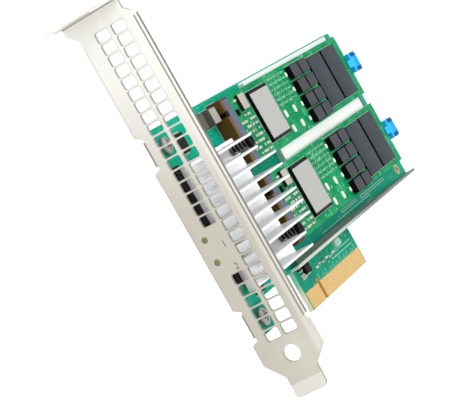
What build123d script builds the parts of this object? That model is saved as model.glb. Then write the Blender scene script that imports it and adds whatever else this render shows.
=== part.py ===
"""Boot drive adapter card: a low-profile board with two solid-state modules, on a full-height bracket.

Millimetres.  X runs along the card away from the bracket's outer face (x = 0), the component side
faces -Y and starts at y = 0, Z is up from the lower ends of the edge contacts (z = 0).
"""
import os
from math import cos, pi, sin

from build123d import *

os.makedirs("parts", exist_ok=True)

# Bracket: a full-height expansion bracket, folded from one sheet
SHEET = 0.86                  # sheet thickness
BEND_R = 0.5                  # inside radius of the folds
BRACKET_HEIGHT = 120.02       # top of the mounting tab to the tip of the tongue
BRACKET_WIDTH = 18.42         # body, without flares
BRACKET_SIDE = 3.7            # body's edge on the solder side, from the component face
TAB_DEPTH = 11.43             # mounting tab, away from the card
TAB_WIDTH = 19.05
TAB_STEP = 2.27               # the tab starts this far inside the body's edge on the component side
TONGUE_TIP = -14.86           # lower end of the tongue
TAB_TOP = TONGUE_TIP + BRACKET_HEIGHT
TAB_NECK = 2.9                # height over which the sheet keeps the tab's width
TAB_CORNER_R = 1.6
TAB_SLOT = 4.42               # open screw slot in the tab
TAB_SLOT_CENTRE = 6.35        # slot centre line from the outer face
TAB_SLOT_DEPTH = 3.9          # straight run of the slot
TONGUE_WIDTH = 10.19
TONGUE_LENGTH = 6.6
TONGUE_SIDE = -0.6            # tongue's edge on the solder side
TONGUE_CORNER_R = 1.2
TONGUE_KINK = 0.4             # the tongue's end is pressed outwards by this
TONGUE_KINK_LENGTH = 3.9
SHOULDER_RISE = 5.2           # slope between the body and the tongue, solder side
FLARE_RISE = 4.2              # the same on the other side
LOWER_FLARE = 0.9             # body widens below the return flange
RETURN_DEPTH = 2.7            # folded return along the component side
RETURN_BOTTOM = 5.2
RETURN_TOP = TAB_TOP - 6.76
TONGUE_HOLE_R = 2.5
TONGUE_HOLE = (-5.8, -2.9)    # y, z
DIMPLE = (-5.1, TAB_TOP - 4.06)   # small locating dimple near the tab: y, z
DIMPLE_R = 0.6
DIMPLE_DEPTH = 0.25

VENT_PITCH = 3.588            # rounded vents in two columns
VENT_LAST = 4.072             # height of the lowest row
VENT_MARGIN = 7.7             # least drop from the tab's top to the highest row
VENT_WIDTH = 4.4
VENT_HEIGHT = 3.05
VENT_RADIUS = 0.55
VENT_CORNER_RUNS = 2          # straight runs that round each corner
VENT_COLUMNS = (-3.4, -8.95)  # y of the two columns
VENT_LAMP_GAP = 3.0           # the first column has no vents this near to the lamps

LAMP_HEIGHTS = (35.4, 28.4)   # two indicator lights
LAMP_Y = 0.35
LAMP_R = 0.95
GUIDE_CLEARANCE = 0.08

# Printed circuit board
BOARD_T = 1.57
BOARD_TOP = 68.9              # low-profile card height, with the edge contacts
BOARD_PAST = 7.5              # board past the modules' far ends
BOARD_START = 1.3
BOARD_BOTTOM = 13.1
BOARD_CORNER = 0.8
BOARD_RECESS = 5.9            # left edge between the two bracket ears
RECESS_SLOPE = 2.2            # rise of the slopes into that recess
FOOT_END = 12.0               # lower left foot that carries the second ear
FOOT_BOTTOM = 4.4
FOOT_CORNER = 1.2
EDGE_START = 38.8             # edge connector tongue
EDGE_LENGTH = 52.2
EDGE_BEVEL = 0.12             # on both faces of the contact edge
KEY_CENTRE = 12.6             # key notch centre from the tongue's start
KEY_WIDTH = 1.9
KEY_HEIGHT = 7.0
FINGER_LENGTH = 5.4
FINGERS_BEFORE = 11           # contacts on the short side of the key notch
FINGERS_AFTER = 38
KEY_FIRST_GAP = 1.5           # key centre to the first contact on either side
FINGER_PITCH = 1.0
FINGER_WIDTH = 0.72
FINGER_T = 0.05
RING_INSET = (6.5, 3.7)       # ring in the lower far corner, from the board's end and bottom
RING_HOLE_R = 0.9
RING_PAD_R = 2.0

EARS = ((59.2, 66.7), (5.2, 12.4))   # two folded ears of the bracket, lower and upper z
EAR_LENGTH = 10.2
EAR_HOLE_X = 6.4
EAR_CORNER_R = 1.5
EAR_RELIEF = 0.85             # relief cut below an ear's fold
SCREW_R = 1.25
SCREW_CLEARANCE = 0.3
SCREW_HEAD_R = 2.7
SCREW_HEAD_H = 1.7
SCREW_CROSS = (3.0, 0.6, 0.8)  # cross recess: length, width, depth
SCREW_PAST = 0.5              # how far a screw stands out past its ear

# Solid-state modules, 22 mm x 110 mm
MODULE_LENGTH = 110.0
MODULE_WIDTH = 22.0
MODULE_T = 0.8
MODULE_FACE = -3.9            # y of the modules' component face
MODULE_START = 43.3           # x of the ends in the sockets
MODULE_LOW = 19.1             # lower edge of the lower module
MODULE_GAP = 3.9              # between the two modules
MODULE_NAMES = ("upper", "lower")
MODULE_SCREW_R = 1.75         # half-round notch in the far edge
MODULE_NECK = 1.08            # the contact end is narrower by this on each side
MODULE_KEY = 6.125            # key notch centre from the module's centre line
MODULE_KEY_WIDTH = 1.2
MODULE_KEY_DEPTH = 3.5
PAD_PITCH = 0.5               # edge contacts of a module
PAD_WIDTH = 0.32
PAD_SPAN = (0.4, 2.2)         # contacts start and end, from the module's edge
PAD_MARGIN = 1.75
PAD_T = 0.04

SOCKET_BACK = 0.7             # socket's back wall
SOCKET_DEPTH = 6.3
SOCKET_TOP = -4.7             # y of the socket's top
SOCKET_GAP = 0.12             # clearance round a module in its slot
SOCKET_EDGE_R = 0.35

# Parts on a module: places and sizes for a 110 mm x 22 mm module, along it and across it
LAYOUT = (110.0, 22.0)
CTRL = (20.0, 15.4, 2.9, 17.0)          # controller package: place and size along, place and size across
CTRL_T = 1.1
CTRL_PAD_INSET = (0.35, 0.95)           # pale pad on it: margins along and across the module
CTRL_PAD_T = 0.12
MEMORY = (75.9, 13.0, 2.0, 18.0)
MEMORY_PITCH = 14.6
MEMORY_T = 0.85
CAP = (56.9, 7.2, 0.75, 4.3)            # power-loss capacitors, four rows of two
CAP_PITCH = (8.1, 5.22)
CAP_ROWS = 4
CAP_T = 2.0
END_PART = (54.8, 1.2, 2.2, 1.6)        # small part in front of each row of capacitors
CHIP_PART = (1.7, 0.8)                  # small ceramic part, along and across
CHIP_PART_T = 0.5
FIELD = (39.1, 10.9)                    # rows of small parts between controller and capacitors
FIELD_PITCH = (4.1, 1.75)
FIELD_SHAPE = (4, 6)
LARGE_PART = (1.6, 2.5)                 # larger parts below them
LARGE_ALONG = (38.9, 47.2)
LARGE_ACROSS = (1.75, 6.95)
LARGE_T = 0.6
INPUT_BLOCK = (11.6, 4.8, 15.7, 5.0)    # large capacitor between socket and controller
INPUT_BLOCK_T = 1.3
INPUT_CHIP = (7.9, 1.5, 15.0, 2.0)      # small chip beside it
INPUT_CHIP_T = 0.7
INPUT_FIELD = (7.0, 1.6)                # small parts there, in staggered rows
INPUT_PITCH = (2.4, 1.75)
INPUT_SHAPE = (5, 8)

CLIP_HEIGHT = 6.8             # clips at the modules' far ends, across the card
CLIP_GAP = 0.3
CLIP_WALL = 2.0
CLIP_HOOK = 1.5               # reach of the hook over the module
CLIP_HOOK_T = 1.1
CLIP_LIP = 0.4                # thickness of the hook's tip
CLIP_TAB = 3.0                # thumb tab past the wall
CLIP_TAB_T = 1.3
CLIP_CLEARANCE = 0.1
REST_WIDTH = 2.8              # posts under the far ends
REST_INSET = 0.6

# Plate behind the modules, seen between them and above them
REAR_START = 27.3             # from the modules' ends in the sockets
REAR_END_INSET = 0.5          # from the modules' far end
REAR_T = 2.0
REAR_LOW_INSET = 2.0          # from the lower module's lower edge
REAR_TOP_MARGIN = 0.45        # from the board's top edge
REAR_CORNER = 0.6
REST_CLEARANCE = 0.5
REAR_PAD_INSET = 3.5

# Heatsink and what it sits on
SINK_START = 4.3
SINK_END = 39.0
SINK_BOTTOM = 16.7
SINK_TOP = 55.6
SINK_FACE = -1.6              # y of the face towards the chip
SINK_BASE_T = 2.5
FIN_TIP = -14.2
FIN_ROOT_T = 0.95
FIN_TIP_T = 0.6
FIN_PITCH = 3.99
FIN_FIRST = 18.3
FIN_COUNT = 10
CORNER_CUT = 9.4              # fins are shorter by this in the two pin corners
CORNER_FINS = 2               # how many at either end are short
PIN_INSET = 4.6               # pins from the heatsink's far end
PIN_HEIGHTS = (52.5, 23.75)
PIN_TIP = -11.4
PIN_R = 1.1
PIN_HEAD_R = 2.0
PIN_HEAD_T = 1.3
PIN_BARB = 0.55               # how far the split point stands out past the shaft
PIN_BARB_LENGTH = 1.1
PIN_CLEARANCE = 0.3
SPRING_R = 1.6
SPRING_WIRE = 0.28
SPRING_TURNS = 4
SPRING_STEPS = 7              # straight runs to a turn

CHIP_SIZE = 21.0
CHIP_BASE_T = 0.6
CHIP_T = 1.3
CHIP_STEP = 2.0               # margin of the chip's cap on its base
CHIP_CENTRE = (22.5, 36.5)
THERMAL_INSET = 2.5

# Rail along the board's lower edge: a flange off the board's face, with a lip that tapers away
RAIL_T = 0.8
RAIL_DEPTH = 3.3
RAIL_START = 37.6
RAIL_BEND_R = 0.4
LIP_HEIGHT = 2.9
LIP_LEVEL = 43.0              # length over which the lip keeps its height
LIP_END_HEIGHT = 0.9

# Light guide holder in the board's recess
HOLDER_FACE = -1.45
HOLDER_GAP = 0.4              # to the bracket
HOLDER_EDGE_GAP = 0.9         # to the board's recessed edge
HOLDER_ABOVE = 16.5           # above the upper lamp
HOLDER_BELOW = 8.4            # below the lower lamp
HOLDER_HEAD = 5.0             # head in front of the board, above the holder's body

# Parts of the main board
CHOKE_SIZE = 5.2
CHOKE_T = 3.2
CHOKE_CORNER = 0.5
CHOKE_STARTS = (36.1, 26.4)
CHOKE_DROP = 7.8              # from the board's top edge down to a choke's lower edge
IC_T = 1.1
POWER_IC = (5.6, 10.4, 6.0)   # x from the ear's hole, drop from the board's top, size
EDGE_IC = (6.4, 3.4, 4.6, 3.1)  # x from the tongue's start, drop from the board's bottom, size in x and z
BELOW_SINK_IC = (6.2, 5.0, 1.7)  # x from the heatsink's start, size in x, size in z
CORNER_IC = (1.6, 2.8, 1.8)   # x from the tongue's start, size in x, size in z
CRYSTAL = (35.2, 5.0, 2.3)    # x from the tongue's start, size in x and z
MINI = (1.6, 0.8, 0.6)        # small capacitor: length, width, height
MINI_ROW = 6
MINI_ROW_PITCH = 3.1
MINI_STACK = 5
MINI_STACK_PITCH = 2.0


def slab(x0, x1, y0, y1, z0, z1):
    """Box between two corners."""
    return Pos((x0 + x1) / 2, (y0 + y1) / 2, (z0 + z1) / 2) * Box(abs(x1 - x0), abs(y1 - y0), abs(z1 - z0))


def eased_slab(x0, x1, y0, y1, z0, z1, cut):
    """Box between two corners with the edges along Y chamfered."""
    b = slab(x0, x1, y0, y1, z0, z1)
    return chamfer(b.edges().filter_by(Axis.Y), cut)


def plate_xz(points, y0, y1):
    """Polygon given as (x, z), extruded from y0 to y1."""
    plane = Plane(origin=(0, y0, 0), x_dir=(1, 0, 0), z_dir=(0, -1, 0))
    return extrude(plane * make_face(Polyline(*points, close=True)), amount=-(y1 - y0))


def plate_yz(points, x0, x1):
    """Polygon given as (y, z), extruded from x0 to x1."""
    plane = Plane(origin=(x0, 0, 0), x_dir=(0, 1, 0), z_dir=(1, 0, 0))
    return extrude(plane * make_face(Polyline(*points, close=True)), amount=x1 - x0)


def plate_xy(points, z0, z1):
    """Polygon given as (x, y), extruded from z0 to z1."""
    plane = Plane(origin=(0, 0, z0), x_dir=(1, 0, 0), z_dir=(0, 0, 1))
    return extrude(plane * make_face(Polyline(*points, close=True)), amount=z1 - z0)


def rod_y(x, z, r, y0, y1):
    """Cylinder along Y."""
    return Pos(x, (y0 + y1) / 2, z) * Rot(90, 0, 0) * Cylinder(r, abs(y1 - y0))


def rod_x(y, z, r, x0, x1):
    """Cylinder along X."""
    return Pos((x0 + x1) / 2, y, z) * Rot(0, 90, 0) * Cylinder(r, abs(x1 - x0))


def turned_y(x, z, profile):
    """Profile given as (radius, y), turned about an axis along Y."""
    face = make_face(Polyline((0, profile[0][1]), *profile, (0, profile[-1][1]), close=True))
    return Pos(x, 0, z) * revolve(face, Axis.Y)


def near(shape, axis, points, r):
    """Fillet the edges along an axis that pass nearest to the given points."""
    edges = shape.edges().filter_by(axis)
    chosen = []
    for p in points:
        chosen.append(min(edges, key=lambda e: (e.center() - Vector(*p)).length))
    return fillet(chosen, r)


def export(shape, name):
    """Write one node, several solids as one group."""
    if isinstance(shape, (list, tuple)):
        shape = Compound(children=list(shape))
    shape.label = name
    export_step(shape, "parts/" + name + ".step")


# Bracket: the sheet's side profile, cut to its front outline
body_left = BRACKET_SIDE
body_right = BRACKET_SIDE - BRACKET_WIDTH
tab_right = body_right + TAB_STEP
tab_left = tab_right + TAB_WIDTH
tip = TONGUE_TIP
shoulder = tip + TONGUE_LENGTH
tongue_right = TONGUE_SIDE - TONGUE_WIDTH
ear_outer = BOARD_T + SHEET
flare_right = body_right - LOWER_FLARE
kink = tip + TONGUE_KINK_LENGTH

side_profile = [
    (-TAB_DEPTH, TAB_TOP), (SHEET, TAB_TOP), (SHEET, kink), (SHEET - TONGUE_KINK, tip),
    (-TONGUE_KINK, tip), (0, kink), (0, TAB_TOP - SHEET), (-TAB_DEPTH, TAB_TOP - SHEET),
]
middle = (body_left + body_right) / 2
sheet = plate_xz(side_profile, flare_right - 1, tab_left + 1)
sheet = near(sheet, Axis.Y, [(SHEET, middle, TAB_TOP)], BEND_R + SHEET)
sheet = near(sheet, Axis.Y, [(0, middle, TAB_TOP - SHEET)], BEND_R)

outline = [
    (tab_left, TAB_TOP), (tab_left, TAB_TOP - TAB_NECK),
    (body_left, TAB_TOP - TAB_NECK - (tab_left - body_left)),
]
for low, high in EARS:
    outline += [
        (body_left, high + 2.4 * SHEET), (ear_outer - EAR_RELIEF, high + SHEET),
        (ear_outer - EAR_RELIEF, high), (ear_outer, high), (ear_outer, low), (ear_outer - EAR_RELIEF, low),
        (ear_outer - EAR_RELIEF, low - EAR_RELIEF), (body_left, low - 2 * SHEET),
    ]
outline += [
    (body_left, shoulder + SHOULDER_RISE), (TONGUE_SIDE, shoulder), (TONGUE_SIDE, tip - 1),
    (tongue_right, tip - 1), (tongue_right, shoulder), (flare_right, shoulder + FLARE_RISE),
    (flare_right, RETURN_BOTTOM - LOWER_FLARE - SHEET), (body_right, RETURN_BOTTOM - SHEET),
    (body_right, RETURN_TOP + SHEET), (tab_right, RETURN_TOP + TAB_NECK), (tab_right, TAB_TOP),
]
bracket = sheet & plate_yz(outline, -TAB_DEPTH - 1, SHEET + 1)
half = SHEET / 2
tongue_edges = [(-TONGUE_KINK + half, TONGUE_SIDE, tip), (-TONGUE_KINK + half, tongue_right, tip)]
bracket = near(bracket, Axis.X, tongue_edges, TONGUE_CORNER_R)
bracket = near(bracket, Axis.X, [(half, body_left, shoulder + SHOULDER_RISE)], 2 * TONGUE_CORNER_R)
bracket = near(bracket, Axis.X, [(half, flare_right, shoulder + FLARE_RISE)], TONGUE_CORNER_R)
tab_corners = [(-TAB_DEPTH, tab_right, TAB_TOP), (-TAB_DEPTH, tab_left, TAB_TOP)]
bracket = near(bracket, Axis.Z, tab_corners, TAB_CORNER_R)
slot_end = tab_right + TAB_SLOT_DEPTH
slot = slab(-TAB_SLOT_CENTRE - TAB_SLOT / 2, -TAB_SLOT_CENTRE + TAB_SLOT / 2,
            tab_right - 1, slot_end, TAB_TOP - 2 * SHEET, TAB_TOP + 1)
slot += Pos(-TAB_SLOT_CENTRE, slot_end, TAB_TOP) * Cylinder(TAB_SLOT / 2, 4 * SHEET)
bracket -= slot

# Return flange along the component side, and the two ears that lie against the board
bracket += slab(0, RETURN_DEPTH, body_right, body_right + SHEET, RETURN_BOTTOM, RETURN_TOP)
bracket = near(bracket, Axis.Z, [(0, body_right, (RETURN_BOTTOM + RETURN_TOP) / 2)], BEND_R + SHEET / 2)
for low, high in EARS:
    ear = slab(0, EAR_LENGTH, BOARD_T, ear_outer, low, high)
    ear = near(ear, Axis.Y, [(EAR_LENGTH, BOARD_T, low), (EAR_LENGTH, BOARD_T, high)], EAR_CORNER_R)
    ear -= rod_y(EAR_HOLE_X, (low + high) / 2, SCREW_R + SCREW_CLEARANCE, 0, ear_outer + 1)
    bracket += ear
    bracket = near(bracket, Axis.Z, [(0, ear_outer, (low + high) / 2)], BEND_R + SHEET / 3)

# Vents, light holes, hole and dimple
corner_turns = [pi / 2 * k / VENT_CORNER_RUNS for k in range(VENT_CORNER_RUNS + 1)]
vent_outline = []
for quarter, (side_y, side_z) in enumerate(((1, 1), (-1, 1), (-1, -1), (1, -1))):
    for turn in corner_turns:
        angle = quarter * pi / 2 + turn
        vent_outline.append((side_y * (VENT_WIDTH / 2 - VENT_RADIUS) + VENT_RADIUS * cos(angle),
                             side_z * (VENT_HEIGHT / 2 - VENT_RADIUS) + VENT_RADIUS * sin(angle)))
vent = plate_yz(vent_outline, -SHEET, 2 * SHEET)
holes = []
vent_rows = int((TAB_TOP - VENT_MARGIN - VENT_LAST) / VENT_PITCH) + 1
for column, y in enumerate(VENT_COLUMNS):
    for row in range(vent_rows):
        z = VENT_LAST + row * VENT_PITCH
        by_lamps = LAMP_HEIGHTS[1] - VENT_LAMP_GAP < z < LAMP_HEIGHTS[0] + VENT_LAMP_GAP
        if column > 0 or not by_lamps:
            holes.append(Pos(0, y, z) * vent)
for z in LAMP_HEIGHTS:
    holes.append(rod_x(LAMP_Y, z, LAMP_R, -SHEET, 2 * SHEET))
holes.append(rod_x(TONGUE_HOLE[0], TONGUE_HOLE[1], TONGUE_HOLE_R, -SHEET, 2 * SHEET))
holes.append(Pos(0, *DIMPLE) * Rot(0, 90, 0) * Cone(DIMPLE_R, DIMPLE_R / 3, 2 * DIMPLE_DEPTH))
bracket -= holes
export(bracket, "bracket")

# Main board
module_end = MODULE_START + MODULE_LENGTH
board_end = module_end + BOARD_PAST
edge_end = EDGE_START + EDGE_LENGTH
recess_top = EARS[0][0] - 2 * RECESS_SLOPE
recess_low = BOARD_BOTTOM + 2.5 * RECESS_SLOPE
board_points = [
    (BOARD_START, BOARD_TOP), (BOARD_START, EARS[0][0] - RECESS_SLOPE),
    (BOARD_RECESS, recess_top), (BOARD_RECESS, recess_low), (BOARD_START, recess_low - RECESS_SLOPE),
    (BOARD_START, FOOT_BOTTOM), (FOOT_END - FOOT_CORNER, FOOT_BOTTOM), (FOOT_END, FOOT_BOTTOM + FOOT_CORNER),
    (FOOT_END, BOARD_BOTTOM), (EDGE_START, BOARD_BOTTOM), (EDGE_START, 0),
    (edge_end, 0), (edge_end, BOARD_BOTTOM),
    (board_end - BOARD_CORNER, BOARD_BOTTOM), (board_end, BOARD_BOTTOM + BOARD_CORNER),
    (board_end, BOARD_TOP - BOARD_CORNER), (board_end - BOARD_CORNER, BOARD_TOP),
]
board = plate_xz(board_points, 0, BOARD_T)
key_x = EDGE_START + KEY_CENTRE
key_round = KEY_HEIGHT - KEY_WIDTH / 2
board -= slab(key_x - KEY_WIDTH / 2, key_x + KEY_WIDTH / 2, -1, BOARD_T + 1, -1, key_round)
board -= rod_y(key_x, key_round, KEY_WIDTH / 2, -1, BOARD_T + 1)
board = chamfer(board.edges().filter_by(Axis.X).group_by(Axis.Z)[0], EDGE_BEVEL)

pin_points = [(SINK_END - PIN_INSET, z) for z in PIN_HEIGHTS]
for x, z in pin_points:
    board -= rod_y(x, z, PIN_R + PIN_CLEARANCE, -1, BOARD_T + 1)
screw_points = [(EAR_HOLE_X, (low + high) / 2) for low, high in EARS]
for x, z in screw_points:
    board -= rod_y(x, z, SCREW_R + SCREW_CLEARANCE, -1, BOARD_T + 1)
ring = (board_end - RING_INSET[0], BOARD_BOTTOM + RING_INSET[1])
board -= rod_y(*ring, RING_HOLE_R, -1, BOARD_T + 1)
export(board, "main_board")

ring_pad = rod_y(*ring, RING_PAD_R, -FINGER_T, 0) - rod_y(*ring, RING_HOLE_R, -1, 1)
export(ring_pad, "corner_ring_pad")

# Gold edge contacts on both sides, left out at the key
centres = [key_x - KEY_FIRST_GAP - FINGER_PITCH * k for k in range(FINGERS_BEFORE)]
centres += [key_x + KEY_FIRST_GAP + FINGER_PITCH * k for k in range(FINGERS_AFTER)]
fronts, backs = [], []
for x in centres:
    x0, x1 = x - FINGER_WIDTH / 2, x + FINGER_WIDTH / 2
    fronts.append(slab(x0, x1, -FINGER_T, 0, EDGE_BEVEL, EDGE_BEVEL + FINGER_LENGTH))
    backs.append(slab(x0, x1, BOARD_T, BOARD_T + FINGER_T, EDGE_BEVEL, EDGE_BEVEL + FINGER_LENGTH))
export(fronts, "edge_contacts_front")
export(backs, "edge_contacts_back")

# Bracket screws
screws = []
for x, z in screw_points:
    screw = turned_y(x, z, [
        (SCREW_HEAD_R - SCREW_HEAD_H / 3, -SCREW_HEAD_H), (SCREW_HEAD_R, 0),
        (SCREW_R, 0), (SCREW_R, ear_outer + SCREW_PAST),
    ])
    long, wide, deep = SCREW_CROSS
    floor = -SCREW_HEAD_H + deep
    screw -= slab(x - long / 2, x + long / 2, -SCREW_HEAD_H - 1, floor, z - wide / 2, z + wide / 2)
    screw -= slab(x - wide / 2, x + wide / 2, -SCREW_HEAD_H - 1, floor, z - long / 2, z + long / 2)
    screws.append(screw)
export(screws, "bracket_screws")

# Plate behind the modules, notched round the posts, and its soft pads
module_bottoms = (MODULE_LOW + MODULE_WIDTH + MODULE_GAP, MODULE_LOW)
plate_start = MODULE_START + REAR_START
plate_end = module_end - REAR_END_INSET
rest_half = CLIP_HEIGHT / 2
rest_x = (module_end - REST_INSET - REST_WIDTH, module_end - REST_INSET)
rear = eased_slab(plate_start, plate_end, -REAR_T, 0,
                   MODULE_LOW + REAR_LOW_INSET, BOARD_TOP - REAR_TOP_MARGIN, REAR_CORNER)
pads = []
for z0 in module_bottoms:
    mid = z0 + MODULE_WIDTH / 2
    rear -= slab(rest_x[0] - REST_CLEARANCE, plate_end + 1, -REAR_T - 1, 1,
                 mid - rest_half - REST_CLEARANCE, mid + rest_half + REST_CLEARANCE)
    pads.append(slab(plate_start + REAR_PAD_INSET, rest_x[0] - REAR_PAD_INSET,
                     MODULE_FACE + MODULE_T, -REAR_T,
                     z0 + REAR_PAD_INSET, z0 + MODULE_WIDTH - REAR_PAD_INSET))
export(rear, "rear_plate")
export(pads, "rear_pads")

# Rail along the lower edge: folded flange and lip, the lip cut to its taper
rail_low = BOARD_BOTTOM - SHEET / 8
rail = plate_yz([
    (0, rail_low), (-RAIL_DEPTH, rail_low), (-RAIL_DEPTH, rail_low + LIP_HEIGHT),
    (-RAIL_DEPTH + RAIL_T, rail_low + LIP_HEIGHT), (-RAIL_DEPTH + RAIL_T, rail_low + RAIL_T),
    (0, rail_low + RAIL_T),
], RAIL_START, board_end)
rail_middle = (RAIL_START + board_end) / 2
rail = near(rail, Axis.X, [(rail_middle, -RAIL_DEPTH, rail_low)], RAIL_BEND_R)
rail &= plate_xz([
    (RAIL_START, rail_low), (board_end, rail_low), (board_end, rail_low + LIP_END_HEIGHT),
    (RAIL_START + LIP_LEVEL, rail_low + LIP_HEIGHT), (RAIL_START, rail_low + LIP_HEIGHT),
], -RAIL_DEPTH, 0)
export(rail, "lower_rail")

# Bridge chip with its cap, and the thermal pad
cx, cz = CHIP_CENTRE
reach = CHIP_SIZE / 2
chip = slab(cx - reach, cx + reach, -CHIP_BASE_T, 0, cz - reach, cz + reach)
cap_reach = reach - CHIP_STEP
chip += slab(cx - cap_reach, cx + cap_reach, -CHIP_T, 0, cz - cap_reach, cz + cap_reach)
export(chip, "bridge_chip")
pad_reach = reach - THERMAL_INSET
thermal = slab(cx - pad_reach, cx + pad_reach, SINK_FACE, -CHIP_T, cz - pad_reach, cz + pad_reach)
export(thermal, "thermal_pad")

# Heatsink: an extruded comb with tapered fins, cut back in its two pin corners
base_top = SINK_FACE - SINK_BASE_T
comb = [(SINK_FACE, SINK_TOP), (SINK_FACE, SINK_BOTTOM), (base_top, SINK_BOTTOM)]
for k in range(FIN_COUNT):
    z = FIN_FIRST + k * FIN_PITCH
    comb += [(base_top, z - FIN_ROOT_T / 2), (FIN_TIP, z - FIN_TIP_T / 2),
             (FIN_TIP, z + FIN_TIP_T / 2), (base_top, z + FIN_ROOT_T / 2)]
comb.append((base_top, SINK_TOP))
sink = plate_yz(comb, SINK_START, SINK_END)
corner_reach = (CORNER_FINS - 0.5) * FIN_PITCH
fins_end = FIN_FIRST + (FIN_COUNT - 1) * FIN_PITCH
for z0, z1 in ((SINK_BOTTOM - 1, FIN_FIRST + corner_reach), (fins_end - corner_reach, SINK_TOP + 1)):
    sink -= slab(SINK_END - CORNER_CUT, SINK_END + 1, FIN_TIP - 1, base_top, z0, z1)
for x, z in pin_points:
    sink -= rod_y(x, z, PIN_R + PIN_CLEARANCE, base_top - 1, 0)
export(sink, "heatsink")

# Spring-loaded push pins: head, shaft and split point, and a spring of straight runs round the shaft
pins, springs = [], []
head_face = PIN_TIP + PIN_HEAD_T
back_face = BOARD_T + PIN_R / 20
for x, z in pin_points:
    pins.append(turned_y(x, z, [
        (PIN_HEAD_R, PIN_TIP), (PIN_HEAD_R, head_face), (PIN_R, head_face),
        (PIN_R, back_face), (PIN_R + PIN_BARB, back_face),
        (PIN_R / 2, back_face + PIN_BARB_LENGTH),
    ]))
    start, end = head_face + SPRING_WIRE, base_top - SPRING_WIRE
    runs = SPRING_TURNS * SPRING_STEPS
    path = [(x + SPRING_R * cos(2 * pi * k / SPRING_STEPS), start + (end - start) * k / runs,
             z + SPRING_R * sin(2 * pi * k / SPRING_STEPS)) for k in range(runs + 1)]
    line = Polyline(*path)
    section = Plane(origin=line @ 0, z_dir=line % 0) * RegularPolygon(SPRING_WIRE, 6)
    springs.append(sweep(section, path=line, transition=Transition.RIGHT))
export(pins, "push_pins")
export(springs, "push_pin_springs")

# Sockets and modules
along = MODULE_LENGTH / LAYOUT[0]
across = MODULE_WIDTH / LAYOUT[1]


def seated(z0, place, size, start, width, height, column=0, row=0, pitch=(0, 0)):
    """Block on a module's face, its place and size scaled with the module."""
    x = MODULE_START + (place + column * pitch[0]) * along
    z = z0 + (start + row * pitch[1]) * across
    return slab(x, x + size * along, MODULE_FACE - height, MODULE_FACE, z, z + width * across)


def overlaps(place, size, start, width, block):
    """True where a block given along and across a module comes near another one."""
    margin = CHIP_PART[1] / 2
    beside = place > block[0] + block[1] + margin or place + size < block[0] - margin
    apart = start > block[2] + block[3] + margin or start + width < block[2] - margin
    return not (beside or apart)


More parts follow.
